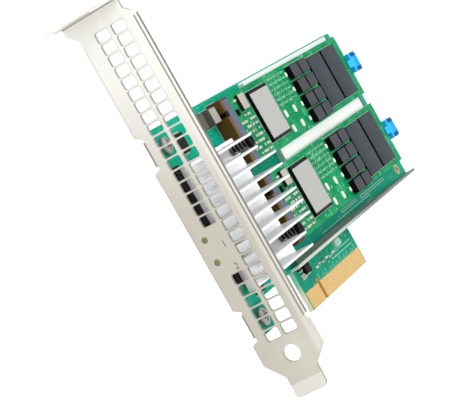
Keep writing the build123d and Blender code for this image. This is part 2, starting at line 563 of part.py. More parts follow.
small = CHIP_PART
for name, z0 in zip(MODULE_NAMES, module_bottoms):
    z1 = z0 + MODULE_WIDTH
    mid = (z0 + z1) / 2
    face = MODULE_FACE
    back = face + MODULE_T
    socket_start = MODULE_START - SOCKET_BACK
    socket_end = socket_start + SOCKET_DEPTH
    neck_end = socket_end + SOCKET_GAP
    neck = MODULE_NECK
    key = mid + MODULE_KEY
    key_half = MODULE_KEY_WIDTH / 2
    slot_y = (face - PAD_T - SOCKET_GAP, back + SOCKET_GAP)

    # socket: a bar with rounded upper edges, a slot from its front, and a rib for the module's key notch
    socket = slab(socket_start, socket_end, SOCKET_TOP, 0, z0, z1)
    upper_edges = [(socket_start, SOCKET_TOP, mid), (socket_end, SOCKET_TOP, mid)]
    socket = near(socket, Axis.Z, upper_edges, SOCKET_EDGE_R)
    socket -= slab(MODULE_START - SOCKET_GAP, socket_end + 1, *slot_y,
                   z0 + neck - SOCKET_GAP, z1 - neck + SOCKET_GAP)
    rib = key_half - SOCKET_GAP
    socket += slab(MODULE_START - SOCKET_GAP, MODULE_START + MODULE_KEY_DEPTH - SOCKET_GAP, *slot_y,
                   key - rib, key + rib)
    export(socket, "module_socket_" + name)

    module = plate_xz([
        (MODULE_START, z0 + neck), (neck_end, z0 + neck), (neck_end, z0), (module_end, z0),
        (module_end, z1), (neck_end, z1), (neck_end, z1 - neck), (MODULE_START, z1 - neck),
    ], face, back)
    module -= rod_y(module_end, mid, MODULE_SCREW_R, face - 1, back + 1)
    module -= slab(MODULE_START - 1, MODULE_START + MODULE_KEY_DEPTH, face - 1, back + 1,
                   key - key_half, key + key_half)
    export(module, "module_board_" + name)

    gold = []
    count = int((MODULE_WIDTH - 2 * PAD_MARGIN) / PAD_PITCH) + 1
    for k in range(count):
        z = z0 + PAD_MARGIN + PAD_PITCH * k
        if abs(z - key) > key_half + PAD_PITCH / 2:
            gold.append(slab(MODULE_START + PAD_SPAN[0], MODULE_START + PAD_SPAN[1], face - PAD_T, face,
                             z - PAD_WIDTH / 2, z + PAD_WIDTH / 2))
    export(gold, "module_contacts_" + name)

    # controller, its pale pad, memory and capacitors
    export(seated(z0, *CTRL, CTRL_T), "module_controller_" + name)
    inset_x, inset_z = CTRL_PAD_INSET
    lid = seated(z0, CTRL[0] + inset_x, CTRL[1] - 2 * inset_x,
                 CTRL[2] + inset_z, CTRL[3] - 2 * inset_z, CTRL_PAD_T)
    export(Pos(0, -CTRL_T, 0) * lid, "module_controller_pad_" + name)
    memory = [seated(z0, *MEMORY, MEMORY_T, column=k, pitch=(MEMORY_PITCH, 0)) for k in range(2)]
    export(memory, "module_memory_" + name)
    caps = [seated(z0, *CAP, CAP_T, column=k % 2, row=k // 2, pitch=CAP_PITCH) for k in range(2 * CAP_ROWS)]
    export(caps, "module_capacitors_" + name)

    # small parts between the controller and the capacitors
    parts = [seated(z0, *END_PART, CHIP_PART_T, row=k, pitch=CAP_PITCH) for k in range(CAP_ROWS)]
    for column in range(FIELD_SHAPE[0]):
        for row in range(FIELD_SHAPE[1]):
            parts.append(seated(z0, FIELD[0], small[0], FIELD[1], small[1], CHIP_PART_T,
                                column, row, FIELD_PITCH))
    for place in LARGE_ALONG:
        for start in LARGE_ACROSS:
            parts.append(seated(z0, place, LARGE_PART[0], start, LARGE_PART[1], LARGE_T))
    export(parts, "module_passives_" + name)

    # parts between the socket and the controller
    power = [seated(z0, *INPUT_BLOCK, INPUT_BLOCK_T), seated(z0, *INPUT_CHIP, INPUT_CHIP_T)]
    for column in range(INPUT_SHAPE[0]):
        for row in range(INPUT_SHAPE[1] + column % 2 * 3):
            place = INPUT_FIELD[0] + column * INPUT_PITCH[0]
            start = INPUT_FIELD[1] + row * INPUT_PITCH[1]
            near_block = overlaps(place, small[0], start, small[1], INPUT_BLOCK)
            near_chip = overlaps(place, small[0], start, small[1], INPUT_CHIP)
            if (row + 2 * column) % 5 == 0 or near_block or near_chip:
                continue
            power.append(seated(z0, place, small[0], start, small[1], CHIP_PART_T))
    export(power, "module_power_parts_" + name)

    # clip with its hook over the module's end and a thumb tab, and the post under that end
    wall = module_end + CLIP_GAP
    hook_low = face - CLIP_CLEARANCE
    hook_top = hook_low - CLIP_HOOK_T
    hook_tip = module_end - CLIP_HOOK
    riser = wall + CLIP_WALL
    tab_end = riser + CLIP_TAB
    tab_top = hook_top - CLIP_TAB_T / 2
    clip = plate_xy([
        (wall, 0), (wall, hook_low), (hook_tip, hook_low), (hook_tip, hook_low - CLIP_LIP), (wall, hook_top),
        (riser, tab_top), (tab_end, tab_top), (tab_end, tab_top + CLIP_TAB_T), (riser, hook_low), (riser, 0),
    ], mid - rest_half, mid + rest_half)
    nose = MODULE_SCREW_R - CLIP_CLEARANCE - CLIP_GAP
    for side in (-1, 1):
        clip -= slab(hook_tip - 1, wall, hook_top - 1, hook_low, mid + side * rest_half, mid + side * nose)
    clip = near(clip, Axis.Z, [(tab_end, tab_top, mid)], CLIP_TAB_T / 3)
    export(clip, "module_clip_" + name)
    export(slab(*rest_x, back, 0, mid - rest_half, mid + rest_half), "module_rest_" + name)

# Light guides and their holder
holder_low = LAMP_HEIGHTS[1] - HOLDER_BELOW
holder_high = LAMP_HEIGHTS[0] + HOLDER_ABOVE
holder_x = (SHEET + HOLDER_GAP, BOARD_RECESS - HOLDER_EDGE_GAP)
holder = slab(*holder_x, HOLDER_FACE, BOARD_T, holder_low, holder_high)
holder += slab(*holder_x, HOLDER_FACE, 0, holder_high, holder_high + HOLDER_HEAD)
for z in LAMP_HEIGHTS:
    holder -= rod_x(LAMP_Y, z, LAMP_R, 0, BOARD_RECESS)
export(holder, "light_guide_holder")
guide_r = LAMP_R - GUIDE_CLEARANCE
guides = [rod_x(LAMP_Y, z, guide_r, GUIDE_CLEARANCE, BOARD_RECESS - SHEET / 2) for z in LAMP_HEIGHTS]
export(guides, "light_guides")

# Parts of the main board
mini_length, mini_width, mini_height = MINI
choke_low = BOARD_TOP - CHOKE_DROP
chokes = [eased_slab(x, x + CHOKE_SIZE, -CHOKE_T, 0, choke_low, choke_low + CHOKE_SIZE, CHOKE_CORNER)
          for x in CHOKE_STARTS]
export(chokes, "power_chokes")
ear_x, drop, size = POWER_IC
x = EAR_HOLE_X + ear_x
chips = [slab(x, x + size, -IC_T, 0, BOARD_TOP - drop, BOARD_TOP - drop + size)]
from_edge, drop, wide, tall = EDGE_IC
edge_ic_x = EDGE_START + from_edge
chips.append(slab(edge_ic_x, edge_ic_x + wide, -IC_T, 0, BOARD_BOTTOM - drop, BOARD_BOTTOM - drop + tall))
from_sink, wide, tall = BELOW_SINK_IC
chips.append(slab(SINK_START + from_sink, SINK_START + from_sink + wide, -IC_T, 0,
                  SINK_BOTTOM - mini_height - tall, SINK_BOTTOM - mini_height))
from_edge, wide, tall = CORNER_IC
chips.append(slab(EDGE_START + from_edge, EDGE_START + from_edge + wide, -IC_T, 0,
                  rail_low + LIP_HEIGHT + mini_width, rail_low + LIP_HEIGHT + mini_width + tall))
export(chips, "board_chips")
from_edge, wide, tall = CRYSTAL
crystal_top = rail_low - mini_height
export(slab(EDGE_START + from_edge, EDGE_START + from_edge + wide, -IC_T, 0, crystal_top - tall, crystal_top),
       "oscillator")
minis = []
mini_low = BOARD_BOTTOM - EDGE_IC[1] - mini_width
for k in range(MINI_ROW):
    x = edge_ic_x + 2 * EDGE_IC[2] + MINI_ROW_PITCH * k
    z = mini_low + mini_width / 2 * (k % 2)
    minis.append(slab(x, x + mini_length, -mini_height, 0, z, z + mini_width))
for k in range(MINI_STACK):
    z = choke_low - EDGE_IC[1] + MINI_STACK_PITCH * k
    x = CHOKE_STARTS[1] - 2 * mini_length
    minis.append(slab(x, x + mini_length, -mini_height, 0, z, z + mini_width))
for k in range(4):
    x = edge_ic_x - 2 * mini_length + 2 * mini_width * (k % 2)
    z = mini_low + (mini_length + mini_width) * (k // 2)
    minis.append(slab(x, x + mini_width, -mini_height, 0, z, z + mini_length))
export(minis, "board_capacitors")
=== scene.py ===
"""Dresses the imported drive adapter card: finishes, small moulded parts and the photo stage.

Metres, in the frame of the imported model.  X runs along the card away from the bracket, the component
side faces -Y and starts at y = 0, Z is up.  Parts are seated on a board at their largest Y and have
their tops at their smallest Y.
"""
import math
from functools import partialmethod
from itertools import cycle

import bpy
import numpy as np
from mathutils import Matrix, Vector


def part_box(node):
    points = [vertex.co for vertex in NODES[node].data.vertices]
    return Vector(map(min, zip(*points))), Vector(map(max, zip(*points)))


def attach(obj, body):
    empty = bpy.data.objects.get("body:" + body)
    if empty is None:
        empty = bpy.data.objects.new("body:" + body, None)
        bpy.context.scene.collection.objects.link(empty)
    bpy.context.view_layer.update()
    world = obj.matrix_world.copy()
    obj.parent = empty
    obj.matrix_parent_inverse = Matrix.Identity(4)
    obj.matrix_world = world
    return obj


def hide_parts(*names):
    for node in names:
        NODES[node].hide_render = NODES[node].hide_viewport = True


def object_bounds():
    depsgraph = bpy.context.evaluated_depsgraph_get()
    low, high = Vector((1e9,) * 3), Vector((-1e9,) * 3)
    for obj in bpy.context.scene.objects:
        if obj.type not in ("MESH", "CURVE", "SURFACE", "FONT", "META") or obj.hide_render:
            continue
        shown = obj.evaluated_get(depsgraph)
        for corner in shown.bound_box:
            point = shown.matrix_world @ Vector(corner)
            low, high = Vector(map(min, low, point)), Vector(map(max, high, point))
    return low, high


bl_info = {
    "name": "Drive adapter card dressing",
    "version": (1, 0, 0),
    "blender": (4, 5, 0),
    "location": "3D View > Sidebar > Adapter card",
    "description": "Finishes, small parts and a stage for a two-module drive adapter card",
    "category": "Object",
}

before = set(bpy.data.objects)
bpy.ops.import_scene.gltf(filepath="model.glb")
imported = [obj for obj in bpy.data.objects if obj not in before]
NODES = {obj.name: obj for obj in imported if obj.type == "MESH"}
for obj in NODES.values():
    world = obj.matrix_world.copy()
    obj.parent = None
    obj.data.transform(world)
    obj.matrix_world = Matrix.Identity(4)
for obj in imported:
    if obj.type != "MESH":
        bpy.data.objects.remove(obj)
CAD_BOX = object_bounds()
MM = 0.001
BODY = "root"
MODULES = ("upper", "lower")
WHITE = (1, 1, 1, 1)
PRINT_DEPTH, TRACK = 0.012 * MM, 0.16 * MM      # thickness of all print, width of a printed track
INK_DEPTH = 0.004 * MM          # half the numerals' thickness
CAP_SHARE = 0.72                # height of a numeral over the size of its letters
DOME = 0.35                     # height of a lamp's dome over its radius

# Zones of the finishes, in millimetres of the frame: from and to, or middle and half width
# On the bracket the paler zones below are painted light, and the edge, bend, flange, tab and ear zones
# painted shade
SHEET_LEAN = 0.7                # the bracket's tone follows z less this share of y
SHEET_PAINTED_LIGHT = (37, 98)
TONGUE_FOOT_LIGHT, TONGUE_SIDE, TONGUE_END_LIGHT = (-3, 7), (-8, 0), (-11.1, -10.8)
BODY_SIDE_SHADE, NECK = (3.3, 3.6), (96, 98)
FLANGE_FROM, FLANGE_SIDE_LIGHT = -14.4, (-13.6, -12.4)
FLANGE_SHADE_LINE, FLANGE_HEIGHT, FLANGE_RIM_SHADE = (-14.38, 0.2), (51.5, 46.5), (1.25, 1.85)
TAB_FROM, TAB_FACE, TAB_BEND_SHADE, TAB_UNDER_SHADE = 104.0, 104.6, (-0.1, 0.75), (-9, -5)
EAR_HEIGHTS, EAR_BEND_SHADE = ((5.2, 12.4), (59.2, 66.7)), (2.1, 0.5)
PLATE_END = (150.5, 150.7)
# The main board's mask is painted lighter above the rail, as painted light
BOARD_FACE, BOARD_PAINTED_LIGHT = 0.5, (12.5, 14)
# The key notch's walls take a painted shade
EDGE_GREEN, NOTCH_PLACE, NOTCH_HEIGHT = (4, 9), (51.4, 1.4), (7, 7.8)
# The clips' hollows take a painted shade
CLIP_HOLLOW_SHADE, CLIP_OUTER = (1.7, 2.1), (154.2, 154.8)
# The rail's lower bend takes a painted highlight that fades along the card
RAIL_BEND_HIGHLIGHT, RAIL_FADE = (13.75, 14.25), (70, 115)
# From here along X the sockets' covers take a painted sheen on their tops
COVER_FROM, CONTACT_GAP = (44.6, 44.75), (0.06, 0.11)

# Rows of vents, and the middle row and half count of those left out beside the lamps
VENT_ROWS, LAMP_ROWS = 27, (7.5, 2)

# Printed lines of the main board, in millimetres: loops as two ends of x and of z, and single lines
BUS_LOOPS = (((72, 121), (14.5, 16.1)), ((113, 139), (16.7, 17.7)), ((93, 109), (17.0, 17.9)))
LONG_LINES = (69, 88, (7.9, 9.2))
RUN_LENGTHS = (0.8, 1.4, 1.1, 2.0)


def linear(colour):
    """Display colour to the shader's linear one.

    A channel c becomes ((c + 0.055) / 1.055) to the power 2.4, or c / 12.92 near black.
    """
    c = np.array(colour[:3], float)
    value = np.where(c > 0.04045, ((c + 0.055) / 1.055) ** 2.4, c / 12.92)
    return (*value.tolist(), 1.0)


def paint(name, steps, words):
    """Colour property of a finish, from display steps of 0 to 255."""
    return bpy.props.FloatVectorProperty(name=name, description=words, default=[s / 255 for s in steps],
                                         size=3, min=0, max=1, subtype="COLOR_GAMMA")


def length(name, value, words):
    """Length property, in metres."""
    return bpy.props.FloatProperty(name=name, description=words, default=value, min=0,
                                   unit="LENGTH", subtype="DISTANCE", precision=5)


def distance(name, value, words):
    """Signed distance property, in metres."""
    return bpy.props.FloatProperty(name=name, description=words, default=value,
                                   unit="LENGTH", subtype="DISTANCE", precision=5)


class CardColours(bpy.types.PropertyGroup):
    """Colours of the card's finishes, as they look in plain white light"""
    steel: paint("Bracket steel", (197, 193, 180), "Plated sheet of the bracket, at its lower end")
    # Painted highlight: the bracket is painted towards this paler colour up high, beside the flange and at
    # the tongue
    steel_high: paint("Bracket steel, high", (248, 247, 241), "The same sheet at its upper end")
    # Painted shade on the bracket's cut edges, bends, vent rims, flange and tab, and also the colour of its
    # scratches
    steel_edge: paint("Bracket edges", (140, 135, 126), "Cut edges and bend lines of the sheet")
    screw: paint("Screws", (150, 148, 145), "Screws that hold the board to the bracket's ears")
    ink: paint("Printed numerals", (112, 108, 102), "Ink of the numerals beside the indicator lamps")
    lamp: paint("Indicator lamps", (120, 124, 50), "Unlit light guides")
    board: paint("Main board", (10, 150, 118), "Solder mask of the main board")
    # Painted light: the mask above the rail, which lies in the modules' shade, is painted this lighter colour
    board_high: paint("Main board, high", (10, 180, 148), "The same mask above the rail")
    board_trace: paint("Main board traces", (70, 186, 152), "Mask over the main board's copper traces")
    module: paint("Module board", (8, 150, 94), "Solder mask of the modules")
    module_trace: paint("Module traces", (104, 200, 150), "Mask over the modules' copper traces")
    laminate: paint("Laminate edge", (238, 240, 206), "Cut edge of the glass-fibre board")
    # Painted shade inside the key notch
    notch: paint("Key notch", (206, 152, 74), "Walls of the key notch between the contacts")
    gold: paint("Contact gold", (240, 186, 108), "Plated contacts")
    tin: paint("Tinned metal", (222, 226, 214), "Solder, part ends and leads")
    copper: paint("Ring pad", (196, 152, 92), "Plated ring in the lower far corner")
    resin: paint("Package resin", (34, 33, 33), "Moulded packages of the small chips")
    # Painted shade on the sides of the moulded packages and black mouldings
    dark: paint("Package sides", (12, 11, 11), "Sides of the moulded packages")
    slate: paint("Memory packages", (66, 73, 78), "Tops of the memory chips")
    capacitor: paint("Capacitor packages", (76, 78, 83), "Tops of the moulded polymer capacitors")
    ceramic: paint("Ceramic parts", (176, 160, 128), "Ceramic capacitors")
    land: paint("Small parts under mask", (44, 140, 98), "Bodies of the smallest parts on a module")
    land_end: paint("Small part ends", (132, 206, 162), "Ends of those parts")
    # Painted reflection: the oscillator's metal lid is coloured with the green of the board it mirrors
    crystal: paint("Oscillator", (150, 198, 184), "Lid of the oscillator, which mirrors the board")
    oval: paint("Pale parts", (236, 243, 226), "Tinned lands and pale parts beside the controllers")
    # The input capacitors' sides take the package resin colour as painted shade
    block: paint("Input capacitor", (196, 190, 178), "Large capacitor beside each socket")
    lid: paint("Controller pad", (186, 187, 183), "Pale pad on the module controllers")
    socket: paint("Socket resin", (34, 28, 18), "Moulded module sockets")
    # Painted sheen on the tops of the socket covers
    socket_face: paint("Socket cover", (96, 104, 126), "Front part of the sockets")
    pins: paint("Socket contacts", (112, 84, 36), "Row of contacts in the sockets")
    clip: paint("Module clips", (46, 190, 252), "Blue moulded clips at the modules' far ends")
    # Painted shade in the clips' hollows and on their sides
    clip_shade: paint("Clip recesses", (0, 78, 160), "Hollows of the clips")
    spring: paint("Springs", (92, 94, 96), "Push pins' blackened springs")
    aluminium: paint("Aluminium", (250, 251, 252), "Heatsink")
    plate: paint("Plate", (240, 245, 243), "Plate behind the modules")
    plate_end: paint("Plate's far end", (7, 105, 82.6), "Green end of that plate")
    rail: paint("Rail", (48, 78, 64), "Dark face of the rail along the lower edge")
    # Painted highlight on the rail's lower bend
    rail_edge: paint("Rail edge", (208, 212, 204), "Lower bend of the rail")
    choke: paint("Chokes", (176, 174, 168), "Tops of the pressed power chokes")
    choke_rear: paint("Rear choke", (101.1, 99.3, 88.5), "Top of the choke beside the bracket")
    # Painted shade on the chokes' sides
    choke_side: paint("Choke sides", (84, 82, 70), "Sides of the power chokes")
    silkscreen: paint("Part outlines", (196, 230, 212), "Printed outlines round the parts")
    pad: paint("Gap pads", (150, 158, 164), "Soft pads under the heatsink and the rear plate")


class CardSizes(bpy.types.PropertyGroup):
    """Sizes of the small parts that dress the card"""
    package_corner: length("Package corner", 0.35 * MM, "Corner radius of a moulded package in plan")
    package_edge: length("Package edge", 0.12 * MM, "Rounding of a package's top edge")
    vent_first: length("Lowest vent", 4.072 * MM, "Height of the lowest row of vents")
    vent_pitch: length("Vent pitch", 3.588 * MM, "Distance between two rows of vents")
    vent_width: length("Vent width", 4.4 * MM, "Width of a vent")
    vent_height: length("Vent height", 3.05 * MM, "Height of a vent")
    vent_corner: length("Vent corner", 0.55 * MM, "Corner radius of a vent")
    vent_near: distance("First column", -3.4 * MM, "Middle of the first column of vents across the bracket")
    vent_far: distance("Second column", -8.95 * MM, "Middle of the second column")
    lead_width: length("Lead width", 0.3 * MM, "Width of a chip's lead")
    contact_pitch: length("Contact pitch", 0.25 * MM, "Half the distance between two contacts of a socket")
    contact_width: length("Contact width", 0.22 * MM, "Width of a socket's contact")
    lead_pitch: length("Lead pitch", 0.65 * MM, "Distance between two leads")
    wire: length("Spring wire", 0.26 * MM, "Radius of the push pins' spring wire")
    numeral: length("Numeral height", 2.0 * MM, "Height of the printed numerals")
    numeral_side: length("Numeral side", 3.55 * MM, "From the board's face to the numerals' left edges")
    numeral_drop: length("Numeral drop", 4.1 * MM, "From a lamp down to its numeral's foot")
    print_width: length("Outline width", 0.14 * MM, "Width of the printed outlines")


class CardStage(bpy.types.PropertyGroup):
    """Camera, lamps and floor"""
    azimuth: bpy.props.FloatProperty(name="Azimuth", description="Turn of the view from looking along +X",
                                     default=math.radians(25.261), subtype="ANGLE")
    elevation: bpy.props.FloatProperty(name="Elevation", description="How steeply the camera looks down",
                                       default=math.radians(2.493), subtype="ANGLE")
    roll: bpy.props.FloatProperty(name="Roll", description="Turn of the camera about its own axis",
                                  default=math.radians(29.541), subtype="ANGLE")
    place: bpy.props.FloatVectorProperty(name="Camera place", description="Where the camera stands", size=3,
                                         default=(-0.490203, -0.244304, 0.064966), subtype="TRANSLATION")
    lens: bpy.props.FloatProperty(name="Lens", description="Focal length on a 36 mm wide sensor",
                                  default=155.19, subtype="DISTANCE_CAMERA")
    key: bpy.props.FloatProperty(name="Key lamp", description="Power of the large soft lamp in front",
                                 default=3.4, min=0, unit="POWER")
    fill: bpy.props.FloatProperty(name="Fill lamp", description="Power of the lamp on the right",
                                  default=2.0, min=0, unit="POWER")
    sky: bpy.props.FloatProperty(name="Room light", description="Strength of the even light all round",
                                 default=0.86, min=0)
    floor_drop: length("Floor drop", 0.0, "How far the floor lies below the card's lowest point")


def sizes():
    return bpy.context.scene.card_sizes


# Shapes


def solids(node):
    """Lowest and highest corners of each separate solid in a CAD node, as two arrays of rows.

    Vertices at one place are joined, and every triangle hands the least label of its corners to the
    others until no label changes.  What shares a label is one solid.
    """
    mesh = NODES[node].data
    points = np.empty(len(mesh.vertices) * 3)
    mesh.vertices.foreach_get("co", points)
    points = points.reshape(-1, 3)
    corners = np.empty(len(mesh.loops), dtype=int)
    mesh.loops.foreach_get("vertex_index", corners)
    places, same = np.unique(np.round(points, 7), axis=0, return_inverse=True)
    triangles = same.reshape(-1)[corners].reshape(-1, 3)
    label = np.arange(len(places))
    while True:
        least = label[triangles].min(axis=1)
        spread = label.copy()
        np.minimum.at(spread, triangles, least[:, None])
        if (spread == label).all():
            break
        label = spread
    names = np.unique(label)
    low = np.array([places[label == n].min(axis=0) for n in names])
    high = np.array([places[label == n].max(axis=0) for n in names])
    order = np.lexsort((low[:, 2], low[:, 0]))
    return low[order], high[order]


def span(node):
    """Lowest and highest corner of a node."""
    low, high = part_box(node)
    return np.array(low), np.array(high)


def lofted_faces(count, rings, points):
    """Quads between the rings of `count` equal stacks, with one face on each end of a stack."""
    base = np.arange(count)[:, None, None] * rings * points
    ring = np.arange(rings - 1)[None, :, None] * points
    here = np.arange(points)[None, None, :]
    ahead = (here + 1) % points
    a = base + ring + here
    b = base + ring + ahead
    quads = np.stack([a, b, b + points, a + points], axis=-1).reshape(-1, 4).tolist()
    start = base[:, 0, 0]
    loop = np.arange(points)
    first = (start[:, None] + loop[::-1]).tolist()
    last = (start[:, None] + (rings - 1) * points + loop).tolist()
    return quads + first + last


def blocks(low, high, corner, stations, steps=3):
    """Rounded blocks between pairs of corners, seated at their largest Y.

    A block is a stack of rings.  A station (inset, rise) gives a ring: the block's outline in X and Z
    drawn in by the inset, with quarter circles of the corner radius less the inset, at that share of
    the way from the seat to the top.
    """
    low, high = np.atleast_2d(low), np.atleast_2d(high)
    inset, rise = np.array(stations, float).T
    angle = (np.arange(4)[:, None] * math.pi / 2 + np.linspace(0, math.pi / 2, steps)).ravel()
    side_x = np.repeat([1, -1, -1, 1], steps)
    side_z = np.repeat([1, 1, -1, -1], steps)
    centre, half = (low + high) / 2, (high - low) / 2
    least = np.minimum(half[:, 0], half[:, 2])[:, None, None]
    wanted = np.maximum(corner - inset, 0.25 * corner)[None, :, None]
    radius = np.minimum(wanted, 0.98 * (least - inset[:, None]))
    reach = half[:, None, None, :] - inset[None, :, None, None]
    x = centre[:, 0, None, None] + side_x * (reach[..., 0] - radius) + radius * np.cos(angle)
    z = centre[:, 2, None, None] + side_z * (reach[..., 2] - radius) + radius * np.sin(angle)
    y = high[:, 1, None, None] - rise[None, :, None] * (high - low)[:, 1, None, None] + 0 * x
    points = np.stack([x, y, z], axis=-1)
    count, rings, around = x.shape
    return points.reshape(-1, 3), lofted_faces(count, rings, around)


def directions(axis):
    """An axis and two directions at right angles to it."""
    axis = np.array(axis, float)
    first = np.array([0, 0, 1.0]) if abs(axis[2]) < 0.5 else np.array([1.0, 0, 0])
    return axis, first, np.cross(axis, first)


def turned(profile, centre, axis, segments=32):
    """Solid of revolution: a ring of radius r at every height h of the profile's (r, h), along the axis."""
    axis, first, second = directions(axis)
    radius, height = np.array(profile, float).T
    angle = np.arange(segments) * 2 * math.pi / segments
    outward = np.cos(angle)[:, None] * first + np.sin(angle)[:, None] * second
    points = np.array(centre) + height[:, None, None] * axis + radius[:, None, None] * outward
    return points.reshape(-1, 3), lofted_faces(1, len(radius), segments)


def coil(centre, axis, start, end, radius, wire, turns, sides=8, per_turn=28):
    """Spring wire: a circle of the wire's radius carried along a helix.

    The helix turns at the given radius while it rises evenly from start to end along the axis, and the
    first and last three quarters of a turn lie flat.  The circle stands in the plane of the radius and
    of the cross product of tangent and radius.
    """
    axis, first, second = directions(axis)
    angle = np.linspace(0, 2 * math.pi * turns, turns * per_turn)
    flat = 2 * math.pi * 0.75
    share = np.clip((angle - flat) / (angle[-1] - 2 * flat), 0, 1)
    rise = start + wire + share * (end - start - 2 * wire)
    outward = np.cos(angle)[:, None] * first + np.sin(angle)[:, None] * second
    path = np.array(centre) + rise[:, None] * axis + radius * outward
    tangent = np.gradient(path, axis=0)
    tangent /= np.linalg.norm(tangent, axis=1)[:, None]
    across = np.cross(tangent, outward)
    spin = np.arange(sides) * 2 * math.pi / sides
    ring = np.cos(spin)[:, None] * outward[:, None, :] + np.sin(spin)[:, None] * across[:, None, :]
    points = path[:, None, :] + wire * ring
    return points.reshape(-1, 3), lofted_faces(1, len(path), sides)


def cross_head(centre, axis, radius, height, slot, reach, segments=64, rings=20):
    """Screw head: a low dome whose cross recess is sunk by a smooth step.

    On the top, the height over polar places (r, angle) is the dome less the recess, which is full where
    the smaller of |u| and |v| is under half the slot and the larger is under its reach.
    """
    axis, first, second = directions(axis)
    share = np.linspace(1, 0.02, rings)
    angle = np.arange(segments) * 2 * math.pi / segments
    r = radius * np.sqrt(1 - (1 - share) ** 2)[:, None]
    u, v = r * np.cos(angle), r * np.sin(angle)
    narrow, wide = np.minimum(abs(u), abs(v)), np.maximum(abs(u), abs(v))
    soft = slot * 0.35
    inside = np.clip((slot / 2 + soft - narrow) / soft, 0, 1) * np.clip((reach - wide) / soft, 0, 1)
    dome = height * (0.45 + 0.55 * np.sqrt(np.clip(1 - (r / radius) ** 2, 0, 1)) + 0 * u)
    top = dome - 0.6 * height * inside
    flat = np.concatenate([0 * u[:1], top])
    u, v = np.concatenate([u[:1], u]), np.concatenate([v[:1], v])
    points = np.array(centre) + flat[..., None] * axis + u[..., None] * first + v[..., None] * second
    return points.reshape(-1, 3), lofted_faces(1, rings + 1, segments)


def stand(low, high):
    """Place on the board's face under the middle of a solid."""
    return (low[0] + high[0]) / 2, 0, (low[2] + high[2]) / 2


def joined(*shapes):
    """Several (points, faces) as one."""
    points, faces, shift = [], [], 0
    for where, sides in shapes:
        points.append(where)
        faces += [[corner + shift for corner in side] for side in sides]
        shift += len(where)
    return np.concatenate(points), faces


def placed(name, data):
    """Object in the scene that holds a mesh, a curve, a lamp or a camera."""
    made = bpy.data.objects.new(name, data)
    bpy.context.scene.collection.objects.link(made)
    return made


def piece(name, shape, material, replaces=(), slot=None, crease=35, **attributes):
    """Mesh piece in the frame, which rides on the card and may stand for CAD nodes."""
    points, faces = shape
    mesh = bpy.data.meshes.new(name)
    mesh.from_pydata(points, [], faces)
    for key, values in attributes.items():
        mesh.attributes.new(key, "FLOAT", "POINT").data.foreach_set("value", np.asarray(values, np.float32))
    mesh.polygons.foreach_set("use_smooth", np.ones(len(mesh.polygons), bool))
    mesh.set_sharp_from_angle(angle=math.radians(crease))
    mesh.update()
    mesh.materials.append(material)
    made = placed(name, mesh)
    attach(made, BODY)
    if replaces:
        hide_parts(*replaces)
    return made


def dress(material, *nodes):
    """Gives CAD nodes a finish."""
    for node in nodes:
        held = NODES[node]
        if not held.material_slots:
            held.data.materials.append(material)
        for slot in held.material_slots:
            slot.material = material


# Finishes


class Nodes:
    """A node tree and the few calls that lay out its nodes."""

    def __init__(self, tree):
        self.nodes, self.links = tree.nodes, tree.links

    def plug(self, socket, value):
        """Links another node's output to a socket, or sets a plain value."""
        if isinstance(value, bpy.types.NodeSocket):
            self.links.new(value, socket)
        else:
            socket.default_value = value

    def set(self, node, values):
        for key, value in values.items():
            self.plug(node.inputs[key], value)

    def node(self, kind, values=None, **settings):
        made = self.nodes.new("ShaderNode" + kind)
        for key, value in settings.items():
            setattr(made, key, value)
        self.set(made, values or {})
        return made

    def math(self, kind, *values):
        made = self.node("Math", operation=kind)
        for socket, value in zip(made.inputs, values):
            self.plug(socket, value)
        return made.outputs[0]

    times = partialmethod(math, "MULTIPLY")
    plus = partialmethod(math, "ADD")
    minus = partialmethod(math, "SUBTRACT")
    most = partialmethod(math, "MAXIMUM")
    least = partialmethod(math, "MINIMUM")
    absolute = partialmethod(math, "ABSOLUTE")
    over = partialmethod(math, "GREATER_THAN")
    under = partialmethod(math, "LESS_THAN")
    fold = partialmethod(math, "FLOORED_MODULO")
    band = partialmethod(math, "COMPARE")

    def near(self, value, middle, half):
        """One inside a band round a place, in millimetres, and zero outside it."""
        return self.band(value, middle * MM, half * MM)

    def step(self, value, low, high, start=0.0, end=1.0):
        """Smooth change from start to end while the value goes from low to high."""
        made = self.node("MapRange", {"Value": value, "From Min": low, "From Max": high,
                                      "To Min": start, "To Max": end}, interpolation_type="SMOOTHSTEP")
        return made.outputs["Result"]

    def ramp(self, place, low, high, start=0.0, end=1.0):
        """The same along a place, in millimetres."""
        return self.step(place, low * MM, high * MM, start, end)

    def mix(self, share, first, second, blend="MIX"):
        """Colour between two, or another blend of them."""
        made = self.node("Mix", data_type="RGBA", blend_type=blend)
        for index, value in ((0, share), (6, first), (7, second)):
            self.plug(made.inputs[index], value)
        return made.outputs[2]

    def looked_at(self):
        """One for rays from the camera, from gloss and through glass."""
        path = self.node("LightPath").outputs
        first = self.most(path["Is Camera Ray"], path["Is Glossy Ray"])
        return self.most(first, path["Is Transmission Ray"])


